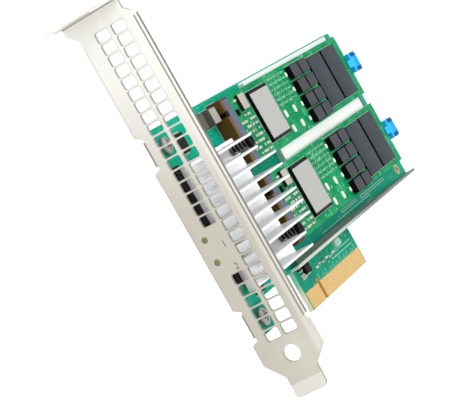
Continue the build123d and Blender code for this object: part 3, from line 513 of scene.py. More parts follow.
class Finish(Nodes):
    """A material whose nodes read Object coordinates or a piece's own attributes."""

    def __init__(self, name, colour, metallic=0.0, roughness=0.5, gloss=0.5):
        self.material = bpy.data.materials.new(name)
        self.material.use_nodes = True
        super().__init__(self.material.node_tree)
        self.shader = self.nodes["Principled BSDF"]
        self.colour = linear(colour)
        self.set(self.shader, {"Base Color": self.colour, "Metallic": metallic, "Roughness": roughness,
                               "Specular IOR Level": gloss})

    def place(self, scale=(1, 1, 1)):
        """Object coordinates, scaled."""
        where = self.node("TexCoord").outputs["Object"]
        return self.node("Mapping", {"Vector": where, "Scale": scale}).outputs["Vector"]

    def axes(self):
        """Place along X, Y and Z."""
        return tuple(self.node("SeparateXYZ", {"Vector": self.place()}).outputs)

    def noise(self, scale, detail=3.0, stretch=(1, 1, 1)):
        """Noise with `scale` grains to a metre."""
        return self.node("TexNoise", {"Vector": self.place(stretch), "Scale": scale, "Detail": detail,
                                      "Roughness": 0.55}).outputs["Fac"]

    def cells(self, scale, metric="EUCLIDEAN", randomness=1.0):
        """Distance to the nearest of points strewn at `scale` to a metre."""
        made = self.node("TexVoronoi", {"Vector": self.place(), "Scale": scale, "Randomness": randomness},
                         distance=metric)
        return made.outputs["Distance"]

    def facing(self, axis):
        """How squarely the surface faces an axis, either way."""
        normal = self.node("NewGeometry").outputs["Normal"]
        return self.absolute(self.node("SeparateXYZ", {"Vector": normal}).outputs[axis])

    def own(self, key):
        """Value of a piece's own attribute."""
        return self.node("Attribute", attribute_name=key).outputs["Fac"]

    def bump(self, height, depth, strength=1.0):
        """Relief of the given depth in millimetres."""
        made = self.node("Bump", {"Height": height, "Distance": depth * MM, "Strength": strength})
        self.links.new(made.outputs["Normal"], self.shader.inputs["Normal"])

    def wear(self, scale, amount, detail=4.0, stretch=(1, 1, 1)):
        """The finish's colour, drifting a little darker and lighter."""
        drift = self.step(self.noise(scale, detail, stretch), 0.25, 0.75, 1 - amount, 1 + amount)
        shade = self.node("CombineColor", {"Red": drift, "Green": drift, "Blue": drift})
        return self.mix(1.0, self.colour, shade.outputs[0], "MULTIPLY")

    def tint(self, share, tone, colour):
        """A tone moved towards a display colour."""
        return self.mix(share, tone, linear(colour))

    def varied(self, noise, low, high):
        """Roughness that follows a noise."""
        return self.step(noise, 0.3, 0.7, low, high)

    def use(self, tone, rough=None, metal=None):
        """The material, with the sockets that its nodes drive."""
        driven = {"Base Color": tone, "Roughness": rough, "Metallic": metal}
        self.set(self.shader, {key: value for key, value in driven.items() if value is not None})
        return self.material


def lighter(colour, share):
    """Display colour moved towards white, or towards black by a negative share."""
    end = 1.0 if share > 0 else 0.0
    return tuple(c + (end - c) * abs(share) for c in colour[:3])


def vent_rim_shade(made, y, z):
    """Mask of the painted shade on each vent's rim: one within 0.1 mm of its outline, falling to zero at 0.3
    mm.

    The height is folded into one row by taking it modulo the pitch.  The distance is that to a
    rectangle with round corners.  The first column has no vents beside the lamps.
    """
    s = sizes()
    pitch, corner = s.vent_pitch, s.vent_corner
    row = made.fold(made.minus(z, s.vent_first - pitch / 2), pitch)
    near, far = (made.absolute(made.minus(y, column)) for column in (s.vent_near, s.vent_far))
    across = made.most(made.minus(made.least(near, far), s.vent_width / 2 - corner), 0)
    up = made.most(made.minus(made.absolute(made.minus(row, pitch / 2)), s.vent_height / 2 - corner), 0)
    away = made.math("SQRT", made.plus(made.times(across, across), made.times(up, up)))
    ring = made.step(away, corner + 0.1 * MM, corner + 0.3 * MM, 1, 0)
    rows = made.band(z, s.vent_first + (VENT_ROWS - 1) / 2 * pitch, VENT_ROWS / 2 * pitch)
    middle, half = LAMP_ROWS
    lamps = made.times(made.band(z, s.vent_first + middle * pitch, half * pitch), made.under(near, far))
    return made.times(ring, made.times(rows, made.minus(1.0, lamps)))


def plated_steel(name, low, high, edge):
    """Satin plate with a fine grain, and painted light: paler at its upper end, beside its flange and on the
    tongue's end.

    Painted shade darkens the cut edges, which face neither along the card nor out of the return flange, the
    vents' rims, the body's side below the neck, the ears' bends, the tab's bend and underside, and two lines
    of the return flange: one beside its bend, and its outer half.
    """
    made = Finish(name, low, metallic=0.25, roughness=0.42, gloss=0.3)
    grain = made.noise(1400, 4, (1, 1, 0.04))
    made.bump(grain, 0.004, 0.4)
    x, y, z = made.axes()
    # Painted light: paler towards the upper end, leaning with y, and on the tongue's foot on the flange side,
    # beside the flange and on the tongue's end
    height = made.minus(z, made.times(y, SHEET_LEAN))
    tone = made.tint(made.ramp(height, *SHEET_PAINTED_LIGHT), made.wear(60, 0.02), high)
    foot = made.times(made.ramp(z, *TONGUE_FOOT_LIGHT, 0.14, 0), made.ramp(y, *TONGUE_SIDE, 1, 0))
    for share in (foot, made.ramp(y, *FLANGE_SIDE_LIGHT, 0.3, 0), made.ramp(z, *TONGUE_END_LIGHT, 0.45, 0)):
        tone = made.tint(share, tone, high)
    scratches = made.step(made.noise(900, 4, (1, 1, 0.05)), 0.35, 0.65, 0, 0.06)
    # Painted shade on the vents' rims and on the body's side below the neck, mixed with the scratches' wear
    rims = made.times(vent_rim_shade(made, y, z), made.over(made.facing("X"), 0.9))
    side = made.times(made.ramp(y, *BODY_SIDE_SHADE, 0, 0.4), made.ramp(z, *NECK, 1, 0))
    for share in (scratches, made.times(rims, 0.38), side):
        tone = made.tint(share, tone, edge)
    # Painted shade on the outer half of the return flange
    flange = made.under(y, FLANGE_FROM * MM)
    tone = made.tint(made.times(flange, made.ramp(x, *FLANGE_RIM_SHADE)), tone, lighter(edge, -0.2))
    # Painted shade: a line beside the flange's bend, the tab's bend and underside, the ears' bends and the
    # cut edges
    line = made.times(made.near(y, *FLANGE_SHADE_LINE), made.near(z, *FLANGE_HEIGHT))
    tab = made.over(z, TAB_FROM * MM)
    tab_underside_shadow = made.times(made.under(z, TAB_FACE * MM), made.over(made.facing("Z"), 0.7))
    tab_underside_shadow = made.times(tab_underside_shadow, made.ramp(x, *TAB_UNDER_SHADE, 0.1, 0.65))
    tab_painted_shade = made.times(tab, made.most(made.times(made.near(x, *TAB_BEND_SHADE), 0.8), tab_underside_shadow))
    ears = made.most(*(made.near(z, (a + b) / 2, (b - a) / 2) for a, b in EAR_HEIGHTS))
    ears = made.times(ears, made.near(y, *EAR_BEND_SHADE))
    cut = made.times(made.under(made.facing("X"), 0.45), made.minus(1.0, made.most(flange, tab)))
    dark = made.times(cut, 0.85)
    for share in (made.times(line, 0.9), tab_painted_shade, ears):
        dark = made.most(dark, share)
    return made.use(made.tint(dark, tone, edge), made.step(grain, 0.2, 0.8, 0.38, 0.5))


def brushed_aluminium(name, colour, end=None, along=(0.03, 1, 1)):
    """Bright metal with fine lines along one direction, and another dull colour on the plate's far end."""
    metallic = 0.45
    made = Finish(name, colour, metallic, roughness=0.36, gloss=0.35)
    lines = made.noise(2600, 5, along)
    made.bump(lines, 0.006, 0.5)
    tone, metal = made.wear(1500, 0.03, 4, along), None
    if end:
        share = made.ramp(made.axes()[0], *PLATE_END)
        tone = made.tint(share, tone, end)
        metal = made.times(made.minus(1.0, share), metallic)
    return made.use(tone, made.step(lines, 0.2, 0.8, 0.3, 0.44), metal)


def solder_mask(name, colour, trace, laminate, notch=None, high=None):
    """Mask over copper: nested square traces, plated holes, and a fibrous cut edge.

    Traces are contours of the square distance to strewn points, kept where a slow noise is high.  On the
    main board the mask is painted lighter above the rail on the component side, as painted light, and the cut
    edge is green above the contacts and takes the notch's colour, a painted shade, in the key notch.
    """
    made = Finish(name, colour, roughness=0.42, gloss=0.015)
    x, y, z = made.axes()
    line = made.step(made.math("PINGPONG", made.cells(260, "CHEBYCHEV"), 0.055), 0.032, 0.042)
    region = made.step(made.noise(150, 2), 0.46, 0.52)
    traces = made.times(line, made.times(region, 0.45))
    ring = made.step(made.cells(520, randomness=0.9), 0.16, 0.2, 1, 0)
    ring = made.times(ring, made.step(made.noise(170, 1), 0.5, 0.54))
    patch = made.times(made.step(made.noise(70, 1), 0.42, 0.58), 0.3)
    tone = made.tint(patch, made.wear(120, 0.05), lighter(colour, -0.22))
    if high:
        # Painted light: the mask above the rail on the component side is painted lighter
        above = made.times(made.ramp(z, *BOARD_PAINTED_LIGHT, 0, 0.85), made.under(y, BOARD_FACE * MM))
        tone = made.tint(above, tone, high)
    tone = made.tint(traces, tone, trace)
    tone = made.tint(made.times(ring, 0.8), tone, lighter(trace, 0.45))
    fibre = made.step(made.noise(2500, 3, (0.1, 1, 0.1)), 0.4, 0.6)
    fibre = made.tint(fibre, linear(laminate), lighter(laminate, -0.12))
    if notch:
        fibre = made.tint(made.ramp(z, *EDGE_GREEN, 0, 0.8), fibre, lighter(trace, 0.15))
        # Painted shade on the key notch's walls
        inside = made.times(made.near(x, *NOTCH_PLACE), made.ramp(z, *NOTCH_HEIGHT, 1, 0))
        fibre = made.tint(inside, fibre, notch)
    tone = made.mix(made.step(made.facing("Y"), 0.5, 0.6, 1, 0), tone, fibre)
    made.bump(made.plus(traces, ring), 0.02, 0.6)
    return made.use(tone, made.varied(made.noise(800), 0.36, 0.5))


def plating(name, colour, roughness=0.28, metallic=0.35):
    """Plated contacts with faint wiping marks."""
    made = Finish(name, colour, metallic, roughness, gloss=0.3)
    marks = made.noise(3000, 4, (1, 1, 0.08))
    made.bump(marks, 0.003, 0.4)
    return made.use(made.wear(900, 0.05), made.step(marks, 0.2, 0.8, roughness - 0.06, roughness + 0.1))


def moulded_resin(name, colour, side):
    """Filled resin: a matt top with the fine pits of a spark-eroded mould, and sides darkened by painted
    shade.
    """
    made = Finish(name, colour, roughness=0.6, gloss=0.05)
    pits = made.noise(5200, 3)
    made.bump(pits, 0.012, 0.45)
    speck = made.step(made.noise(2600, 5), 0.35, 0.65, 0, 0.35)
    tone = made.tint(speck, made.wear(300, 0.05), lighter(colour, -0.18))
    # Painted shade: faces that do not face out along Y take the darker side colour
    flat = made.step(made.facing("Y"), 0.7, 0.95)
    return made.use(made.mix(flat, linear(side), tone), made.varied(pits, 0.52, 0.68))


def ended_part(name, body, end, share=0.55, deep=-0.75):
    """Small part with tinned ends, beyond a share of its half length.

    `along` runs from -1 to 1 over its length.  `tint` differs by part, and parts with much of it take
    the body's colour moved by `deep` towards black.
    """
    made = Finish(name, body, roughness=0.45, gloss=0.2)
    cap = made.step(made.absolute(made.own("along")), share - 0.04, share + 0.04)
    shade = made.step(made.own("tint"), 0.45, 0.55)
    shade = made.tint(shade, linear(lighter(body, 0.2)), lighter(body, deep))
    rough = made.varied(made.noise(4000, 2), 0.3, 0.5)
    return made.use(made.tint(cap, shade, end), rough, made.times(cap, 0.2))


def printed_ink(name, colour):
    """Dull ink, a little broken up."""
    made = Finish(name, colour, roughness=0.7, gloss=0.1)
    return made.use(made.wear(3000, 0.12, 5))


def blue_clip(name, colour, shade):
    """Nylon with flow marks, and painted shade in the hollows at both ends of each clip's outer half and on
    its sides.

    The height is folded over the two clips by taking it modulo their distance.
    """
    made = Finish(name, colour, roughness=0.3, gloss=0.04)
    x, _, z = made.axes()
    (lowest, highest), (above, _) = ([corner[2] for corner in span("module_clip_" + side)]
                                     for side in ("lower", "upper"))
    apart = above - lowest
    folded = made.fold(made.minus(z, (lowest + highest) / 2 - apart / 2), apart)
    off = made.absolute(made.minus(folded, apart / 2))
    # Painted shade in the hollows at both ends of the outer half, and on faces that do not face out along Y
    hollow_shade = made.times(made.ramp(off, *CLIP_HOLLOW_SHADE), made.ramp(x, *CLIP_OUTER))
    side = made.step(made.facing("Y"), 0.4, 0.8, 0.3, 0)
    tone = made.tint(made.step(made.noise(300, 3), 0.3, 0.7, 0, 0.3), made.colour, lighter(colour, 0.2))
    tone = made.tint(made.most(side, made.times(hollow_shade, 0.9)), tone, shade)
    return made.use(tone, made.varied(made.noise(2500), 0.25, 0.36))


def rail_finish(name, dark, bright):
    """Dark coated face and, below it, a painted highlight along the bend, which fades along the card."""
    made = Finish(name, dark, metallic=0.05, roughness=0.4, gloss=0.05)
    x, _, z = made.axes()
    # Painted highlight below the bend line, weaker further along the card
    low = made.times(made.ramp(z, *RAIL_BEND_HIGHLIGHT, 1, 0), made.ramp(x, *RAIL_FADE, 1, 0.3))
    tone = made.tint(low, made.wear(600, 0.12, 4, (0.05, 1, 1)), bright)
    return made.use(tone, made.varied(made.noise(2000, 3, (0.05, 1, 1)), 0.3, 0.45))


def socket_mould(name, resin, contact, cover):
    """Socket: a painted blue-grey sheen on the tops towards the module, and dark brown with rows of contacts
    at the back.

    The contacts are bands along Z, two to a millimetre, on all that lies behind the cover.
    """
    made = Finish(name, resin, roughness=0.5, gloss=0.1)
    x, _, z = made.axes()
    # Painted sheen on the cover's faces that face out along Y
    front = made.times(made.step(made.facing("Y"), 0.6, 0.9), made.ramp(x, *COVER_FROM))
    row = made.ramp(made.math("PINGPONG", z, 0.25 * MM), *CONTACT_GAP)
    made.bump(made.noise(2400, 3), 0.01, 0.4)
    back = made.tint(made.times(row, 0.85), made.wear(500, 0.15), contact)
    return made.use(made.tint(front, back, cover), made.varied(made.noise(1500), 0.42, 0.56))


def soft_pad(name, colour):
    """Silicone gap filler, slightly speckled."""
    made = Finish(name, colour, roughness=0.8, gloss=0.1)
    made.bump(made.noise(1800, 4), 0.02, 0.5)
    return made.use(made.wear(2500, 0.06))


def light_guide(name, colour):
    """Clear moulding over an unlit lamp, with a painted highlight round its rim."""
    made = Finish(name, colour, roughness=0.2, gloss=0.4)
    # Painted highlight: paler round the outer part of the dome
    rim = made.step(made.own("rim"), 0.62, 0.95)
    return made.use(made.tint(rim, made.wear(700, 0.2), lighter(colour, 0.6)))


# Each finish: its function, the material's name, the names of its colours, and other values
FINISHES = {
    "steel": (plated_steel, "bracket_steel", "steel steel_high steel_edge"),
    "screw": (plating, "screw_plating", "screw", 0.3, 0.7),
    "ink": (printed_ink, "numeral_ink", "ink"),
    "lamp": (light_guide, "light_guide", "lamp"),
    "board": (solder_mask, "main_board_mask", "board board_trace laminate notch board_high"),
    "module": (solder_mask, "module_mask", "module module_trace laminate"),
    "gold": (plating, "contact_gold", "gold"),
    "tin": (plating, "tinned_metal", "tin", 0.35),
    "copper": (plating, "ring_plating", "copper", 0.35),
    "resin": (moulded_resin, "package_resin", "resin dark"),
    "slate": (moulded_resin, "memory_resin", "slate dark"),
    "capacitor": (moulded_resin, "capacitor_resin", "capacitor dark"),
    "ceramic": (ended_part, "ceramic_part", "ceramic tin"),
    "choke_rear": (moulded_resin, "rear_choke_moulding", "choke_rear choke_side"),
    "land": (ended_part, "masked_part", "land land_end", 0.6, -0.45),
    "crystal": (plating, "oscillator_lid", "crystal", 0.35, 0.1),
    "oval": (printed_ink, "pale_part", "oval"),
    "block": (moulded_resin, "input_capacitor", "block resin"),
    "lid": (soft_pad, "controller_pad", "lid"),
    "socket": (socket_mould, "socket_resin", "socket pins socket_face"),
    "black": (moulded_resin, "black_moulding", "resin dark"),
    "spring": (plating, "spring_steel", "spring", 0.3, 0.6),
    "pins": (plating, "socket_contacts", "pins", 0.35),
    "clip": (blue_clip, "clip_nylon", "clip clip_shade"),
    "aluminium": (brushed_aluminium, "heatsink_aluminium", "aluminium"),
    "plate": (brushed_aluminium, "plate_finish", "plate plate_end", (0.05, 1, 1)),
    "rail": (rail_finish, "rail_coating", "rail rail_edge"),
    "choke": (moulded_resin, "choke_moulding", "choke choke_side"),
    "print": (printed_ink, "outline_print", "silkscreen"),
    "pad": (soft_pad, "gap_pad", "pad"),
}
_made = {}


def finish(key):
    """The card's materials, each made once."""
    if key not in _made:
        maker, name, colours, *values = FINISHES[key]
        shades = [getattr(bpy.context.scene.card_colours, colour) for colour in colours.split()]
        _made[key] = maker(name, *shades, *values)
    return _made[key]


# Stations of the moulded shapes: (inset in metres, share of the height)


def package_stations(edge):
    """Straight wall with a rounded top edge."""
    return [(edge * 0.5, 0), (0, 0.06), (0, 0.86), (edge * 0.3, 0.95), (edge, 1.0)]


def chip_part_stations(edge):
    """Small ceramic block rounded all over."""
    return [(edge, 0), (0, 0.2), (0, 0.8), (edge, 1.0)]


def ended_parts(name, low, high, material, corner, edge, seed=1, **places):
    """Small parts with two attributes: the place along the longer side, and a random tint for each part."""
    shape = blocks(low, high, corner, chip_part_stations(edge), steps=2)
    each = len(shape[0]) // len(low)
    centre = np.repeat((low + high) / 2, each, axis=0)
    half = np.repeat((high - low) / 2, each, axis=0)
    share = (shape[0] - centre) / half
    along = np.where(half[:, 0] > half[:, 2], share[:, 0], share[:, 2])
    tint = np.repeat(np.random.default_rng(seed).random(len(low)), each)
    return piece(name, shape, material, along=along, tint=tint, **places)


def moulded(low, high, corner, edge):
    """Packages with round corners in plan and a rounded top edge."""
    return blocks(low, high, corner, package_stations(edge))


def packages(name, node, material, corner=None, edge=None):
    """Moulded packages where a node's solids are."""
    s = sizes()
    shape = moulded(*solids(node), corner or s.package_corner, edge or s.package_edge)
    return piece(name, shape, material, replaces=(node,))


def strips(name, rows, seat, thick, material, slot):
    """Thin flat strips on a face at y = seat; each row is x0, x1, z0, z1."""
    x0, x1, z0, z1 = np.array(rows, float).T
    low = np.stack([x0, np.full_like(x0, seat - thick), z0], -1)
    high = np.stack([x1, np.full_like(x0, seat), z1], -1)
    least = np.minimum(x1 - x0, z1 - z0).min()
    return piece(name, blocks(low, high, least * 0.2, [(0, 0), (0, 1)], steps=2), material, slot=slot)


def printed(name, rows, seat, slot):
    """Printed strips on a face."""
    return strips(name, rows, seat, PRINT_DEPTH, finish("print"), slot)


def frames(low, high, gap, width):
    """Four strips round each of several rectangles, as rows of x0, x1, z0, z1."""
    rows = []
    for a, b in zip(np.atleast_2d(low) - gap, np.atleast_2d(high) + gap):
        inner = (a[2] + width, b[2] - width)
        rows += [(a[0], b[0], a[2], inner[0]), (a[0], b[0], inner[1], b[2]),
                 (a[0], a[0] + width, *inner), (b[0] - width, b[0], *inner)]
    return rows


def comb(start, end, pitch, width):
    """Low and high ends of even teeth from start to end."""
    low = np.arange(start, end - width, pitch)
    return low, low + width


# Operators


class CARD_OT_bracket(bpy.types.Operator):
    """Finish the folded bracket, print the two numerals and round the indicator lamps"""
    bl_idname = "card.bracket"
    bl_label = "Bracket"

    def execute(self, context):
        dress(finish("steel"), "bracket")
        low, high = solids("light_guides")
        lamps, rim = [], []
        turns = np.linspace(0, math.pi / 2 * 0.95, 8)[::-1]
        for a, b in zip(low, high):
            radius = (b[2] - a[2]) / 2
            centre = np.array((a[0], (a[1] + b[1]) / 2, (a[2] + b[2]) / 2))
            dome = [(radius * math.cos(t), DOME * radius * (1 - math.sin(t))) for t in turns]
            lamps.append(turned(dome + [(radius, b[0] - a[0])], centre, (1, 0, 0)))
            # Distance from the lamp's axis over its radius, which places the lamps' painted highlight
            rim.append(np.linalg.norm((lamps[-1][0] - centre)[:, 1:], axis=1) / radius)
        piece("indicator_lamps", joined(*lamps), finish("lamp"), replaces=("light_guides",),
              rim=np.concatenate(rim))
        for number, z in zip("12", sorted(((low + high) / 2)[:, 2])[::-1]):
            self.print_numeral(number, z - sizes().numeral_drop)
        return {"FINISHED"}

    def print_numeral(self, number, base):
        """Flat ink on the outer face, below and beside its lamp."""
        s = sizes()
        curve = bpy.data.curves.new("numeral_" + number, "FONT")
        curve.body = number
        curve.size = s.numeral / CAP_SHARE
        curve.extrude = INK_DEPTH
        held = placed("numeral_shape", curve)
        bpy.context.view_layer.update()
        mesh = bpy.data.meshes.new_from_object(held)
        bpy.data.objects.remove(held)
        mesh.transform(Matrix(((0, 0, -1, 0), (-1, 0, 0, -s.numeral_side), (0, 1, 0, base), (0, 0, 0, 1))))
        mesh.materials.clear()
        mesh.materials.append(finish("ink"))
        made = placed("numeral_" + number, mesh)
        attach(made, BODY)


class CARD_OT_screws(bpy.types.Operator):
    """Make the two cross-head screws that hold the board to the bracket's ears"""
    bl_idname = "card.screws"
    bl_label = "Screws"

    def execute(self, context):
        low, high = solids("bracket_screws")
        shapes = []
        for a, b in zip(low, high):
            radius = (b[0] - a[0]) / 2
            foot = stand(a, b)
            shapes.append(cross_head(foot, (0, -1, 0), radius, -a[1], slot=0.7 * MM, reach=1.7 * MM))
            shank = radius * 0.46
            profile = [(shank, 0), (shank, b[1] * 0.85), (shank * 0.7, b[1])]
            shapes.append(turned(profile, foot, (0, 1, 0)))
        piece("bracket_screw_pair", joined(*shapes), finish("screw"), replaces=("bracket_screws",))
        return {"FINISHED"}


class CARD_OT_main_board(bpy.types.Operator):
    """Finish the main board, its contacts, the ring pad, the rail and the plate behind the modules"""
    bl_idname = "card.main_board"
    bl_label = "Main board"

    def execute(self, context):
        for key, *nodes in (("board", "main_board"), ("gold", "edge_contacts_front", "edge_contacts_back"),
                            ("copper", "corner_ring_pad"), ("rail", "lower_rail"), ("plate", "rear_plate"),
                            ("pad", "rear_pads"), ("black", "light_guide_holder")):
            dress(finish(key), *nodes)
        low, high = (np.array([(x[end], 0, z[end]) for x, z in BUS_LOOPS]) * MM for end in (0, 1))
        printed("board_bus_lines", frames(low, high, 0, 1.5 * sizes().print_width), 0, "main_board")
        a, b = span("edge_contacts_front")
        starts = np.arange(a[0] + 9 * MM, b[0] - 2 * MM, 1.7 * MM)
        runs = [(x, x + TRACK, b[2] + 0.1 * MM, b[2] + run * MM)
                for x, run in zip(starts, cycle(RUN_LENGTHS))]
        left, right, heights = LONG_LINES
        runs += [(left * MM, right * MM, z * MM, z * MM + TRACK) for z in heights]
        printed("board_contact_runs", runs, 0, "main_board")
        return {"FINISHED"}


class CARD_OT_board_parts(bpy.types.Operator):
    """Make the chokes, chips, crystal and small capacitors of the main board"""
    bl_idname = "card.board_parts"
    bl_label = "Parts of the main board"

    def execute(self, context):
        s = sizes()
        low, high = solids("power_chokes")
        rear, front = (moulded(a, b, corner=0.6 * MM, edge=0.3 * MM) for a, b in zip(low, high))
        piece("choke_rear", rear, finish("choke_rear"), replaces=("power_chokes",))
        piece("choke_front", front, finish("choke"), slot="power_chokes")
        packages("board_chip_set", "board_chips", finish("resin"))
        packages("oscillator_can", "oscillator", finish("crystal"), corner=0.7 * MM, edge=0.25 * MM)
        ended_parts("board_capacitor_set", *solids("board_capacitors"), finish("ceramic"), corner=0.12 * MM,
                    edge=0.08 * MM, replaces=("board_capacitors",))
        rows = []
        for node in ("power_chokes", "board_chips", "oscillator"):
            rows += frames(*solids(node), 0.35 * MM, s.print_width)
        printed("board_part_outlines", rows, 0, "main_board")
        legs, reach = [], 0.55 * MM
        for a, b in zip(*solids("board_chips")):
            for side in (a[2] - reach, b[2]):
                for x0, x1 in zip(*comb(a[0] + 0.25 * MM, b[0], s.lead_pitch, s.lead_width)):
                    legs.append((x0, x1, side, side + reach))
        strips("board_chip_leads", legs, 0, 0.16 * MM, finish("tin"), "board_chips")
        return {"FINISHED"}


class CARD_OT_cooler(bpy.types.Operator):
    """Finish the heatsink with the chip and pad under it, and make its push pins and springs"""
    bl_idname = "card.cooler"
    bl_label = "Heatsink"

    def execute(self, context):
        s = sizes()
        dress(finish("aluminium"), "heatsink")
        dress(finish("resin"), "bridge_chip")
        dress(finish("pad"), "thermal_pad")
        pins, springs = [], []
        for a, b, c, d in zip(*solids("push_pins"), *solids("push_pin_springs")):
            head = (b[0] - a[0]) / 2
            middle = stand(a, b)
            top, foot = -a[1], -b[1]
            shaft = head * 0.54
            profile = [(shaft * 0.5, foot), (shaft * 1.45, foot + 0.9 * MM), (shaft * 1.5, foot + 1.05 * MM),
                       (shaft, foot + 1.12 * MM), (shaft, top - 1.3 * MM), (head, top - 1.3 * MM),
                       (head, top - 0.35 * MM), (head * 0.9, top - 0.1 * MM), (head * 0.45, top),
                       (head * 0.4, top - 0.25 * MM), (head * 0.1, top - 0.25 * MM)]
            pins.append(turned(profile, middle, (0, -1, 0)))
            radius = (d[0] - c[0]) / 2 - s.wire
            springs.append(coil(middle, (0, -1, 0), -d[1], -c[1], radius, s.wire, turns=6))
        piece("push_pin_pair", joined(*pins), finish("black"), replaces=("push_pins",))
        piece("push_pin_spring_pair", joined(*springs), finish("spring"), replaces=("push_pin_springs",),
              crease=60)
        return {"FINISHED"}


class CARD_OT_sockets(bpy.types.Operator):
    """Finish the two module sockets, and make their contact windows, tails and key blocks"""
    bl_idname = "card.sockets"
    bl_label = "Module sockets"

    def execute(self, context):
        s = sizes()
        for side in MODULES:
            node = "module_socket_" + side
            dress(finish("socket"), node)
            dress(finish("gold"), "module_contacts_" + side)
            a, b = span(node)
            teeth = list(zip(*comb(a[2] + 0.9 * MM, b[2] - 0.7 * MM, 2 * s.contact_pitch, s.contact_width)))
            cover, end = a[0] + 2.0 * MM, b[0] - 0.5 * MM
            windows = [(a[0] + 0.35 * MM, a[0] + 1.85 * MM, *tooth) for tooth in teeth]
            tails = [(a[0] - 0.75 * MM, a[0], *tooth) for tooth in teeth]
            walls = [(cover, end, z, z + 0.3 * MM) for z in (a[2] + 0.2 * MM, b[2] - 0.5 * MM)]
            key = [(a[0] - 0.05 * MM, cover, a[2] + 16.3 * MM, a[2] + 18.3 * MM)]
            for name, rows, seat, thick, look in (("socket_windows_", windows, a[1], 0.03 * MM, "pins"),
                                                  ("socket_tails_", tails, 0, 0.15 * MM, "tin"),
                                                  ("socket_ends_", walls, a[1], 0.05 * MM, "black"),
                                                  ("socket_key_", key, 0, 0.05 * MM - a[1], "black")):
                strips(name + side, rows, seat, thick, finish(look), node)
            printed("socket_outline_" + side, frames(a, b, 0.3 * MM, s.print_width), 0, "main_board")
        return {"FINISHED"}


class CARD_OT_modules(bpy.types.Operator):
    """Finish the two module boards and make the parts that sit on them"""
    bl_idname = "card.modules"
    bl_label = "Modules"

    def execute(self, context):
        for side in MODULES:
            dress(finish("module"), "module_board_" + side)
            dress(finish("black"), "module_rest_" + side)
            packages("controller_" + side, "module_controller_" + side, finish("black"))
            low, high = solids("module_controller_pad_" + side)
            piece("controller_pad_" + side, blocks(low, high, 0.3 * MM, [(0, 0), (0, 0.6), (0.05 * MM, 1)]),
                  finish("lid"), replaces=("module_controller_pad_" + side,))
            packages("memory_" + side, "module_memory_" + side, finish("slate"))
            packages("capacitors_" + side, "module_capacitors_" + side, finish("capacitor"))
            self.small_parts(side)
            self.prints(side)
        return {"FINISHED"}

    def small_parts(self, side):
        """Pale lands, ended parts and the large input capacitor, told apart by their sizes."""
        node = "module_passives_" + side
        low, high = solids(node)
        pale = (high - low)[:, 2] > 1.2 * MM
        ended_parts("passives_" + side, low[~pale], high[~pale], finish("land"), corner=0.12 * MM,
                    edge=0.08 * MM, seed=3, replaces=(node,))
        piece("pale_parts_" + side, blocks(low[pale], high[pale], 0.6 * MM, chip_part_stations(0.15 * MM), 4),
              finish("oval"), slot=node)
        node = "module_power_parts_" + side
        low, high = solids(node)
        large = (high - low)[:, 0] > 3 * MM
        chip = ((high - low)[:, 2] > 1.5 * MM) & ~large
        rest = ~(large | chip)
        ended_parts("power_parts_" + side, low[rest], high[rest], finish("ceramic"), corner=0.15 * MM,
                    edge=0.1 * MM, seed=7, replaces=(node,))
        for name, which, corner, edge, look in (("input_capacitor_", large, 0.4 * MM, 0.2 * MM, "block"),
                                                ("input_chip_", chip, 0.15 * MM, 0.1 * MM, "resin")):
            piece(name + side, moulded(low[which], high[which], corner, edge), finish(look), slot=node)

    def prints(self, side):
        """Outlines and short tracks on the module's face."""
        s = sizes()
        a, b = span("module_board_" + side)
        rows = []
        for part in ("module_controller_", "module_memory_"):
            rows += frames(*solids(part + side), 0.3 * MM, s.print_width)
        low, high = solids("module_passives_" + side)
        small = (high - low)[:, 2] < 1.2 * MM
        for p, q in zip(low[small], high[small]):
            middle = (p[2] + q[2]) / 2
            start = p[0] - 0.5 * MM
            rows.append((q[0] + 0.1 * MM, q[0] + 2.1 * MM, middle - TRACK / 2, middle + TRACK / 2))
            rows.append((start, start + TRACK, middle - 0.5 * MM, middle + 0.8 * MM))
        for p, q in zip(*solids("module_capacitors_" + side)):
            rows.append((p[0], q[0], q[2] + 0.3 * MM, q[2] + 0.3 * MM + TRACK))
        inside = [r for r in rows if a[0] < r[0] and r[1] < b[0] and a[2] < r[2] and r[3] < b[2]]
        printed("module_prints_" + side, inside, a[1], "module_board_" + side)


class CARD_OT_clips(bpy.types.Operator):
    """Finish the blue clips at the modules' far ends, with their grip ridges"""
    bl_idname = "card.clips"
    bl_label = "Module clips"

    def execute(self, context):
        for side in MODULES:
            node = "module_clip_" + side
            dress(finish("clip"), node)
            a, b = span(node)
            ridges = [(b[0] - (x + 0.5) * MM, b[0] - x * MM, a[2] + 0.7 * MM, b[2] - 0.7 * MM)
                      for x in (0.5, 1.4, 2.3)]
            strips("clip_ridges_" + side, ridges, a[1], 0.22 * MM, finish("clip"), node)
        return {"FINISHED"}


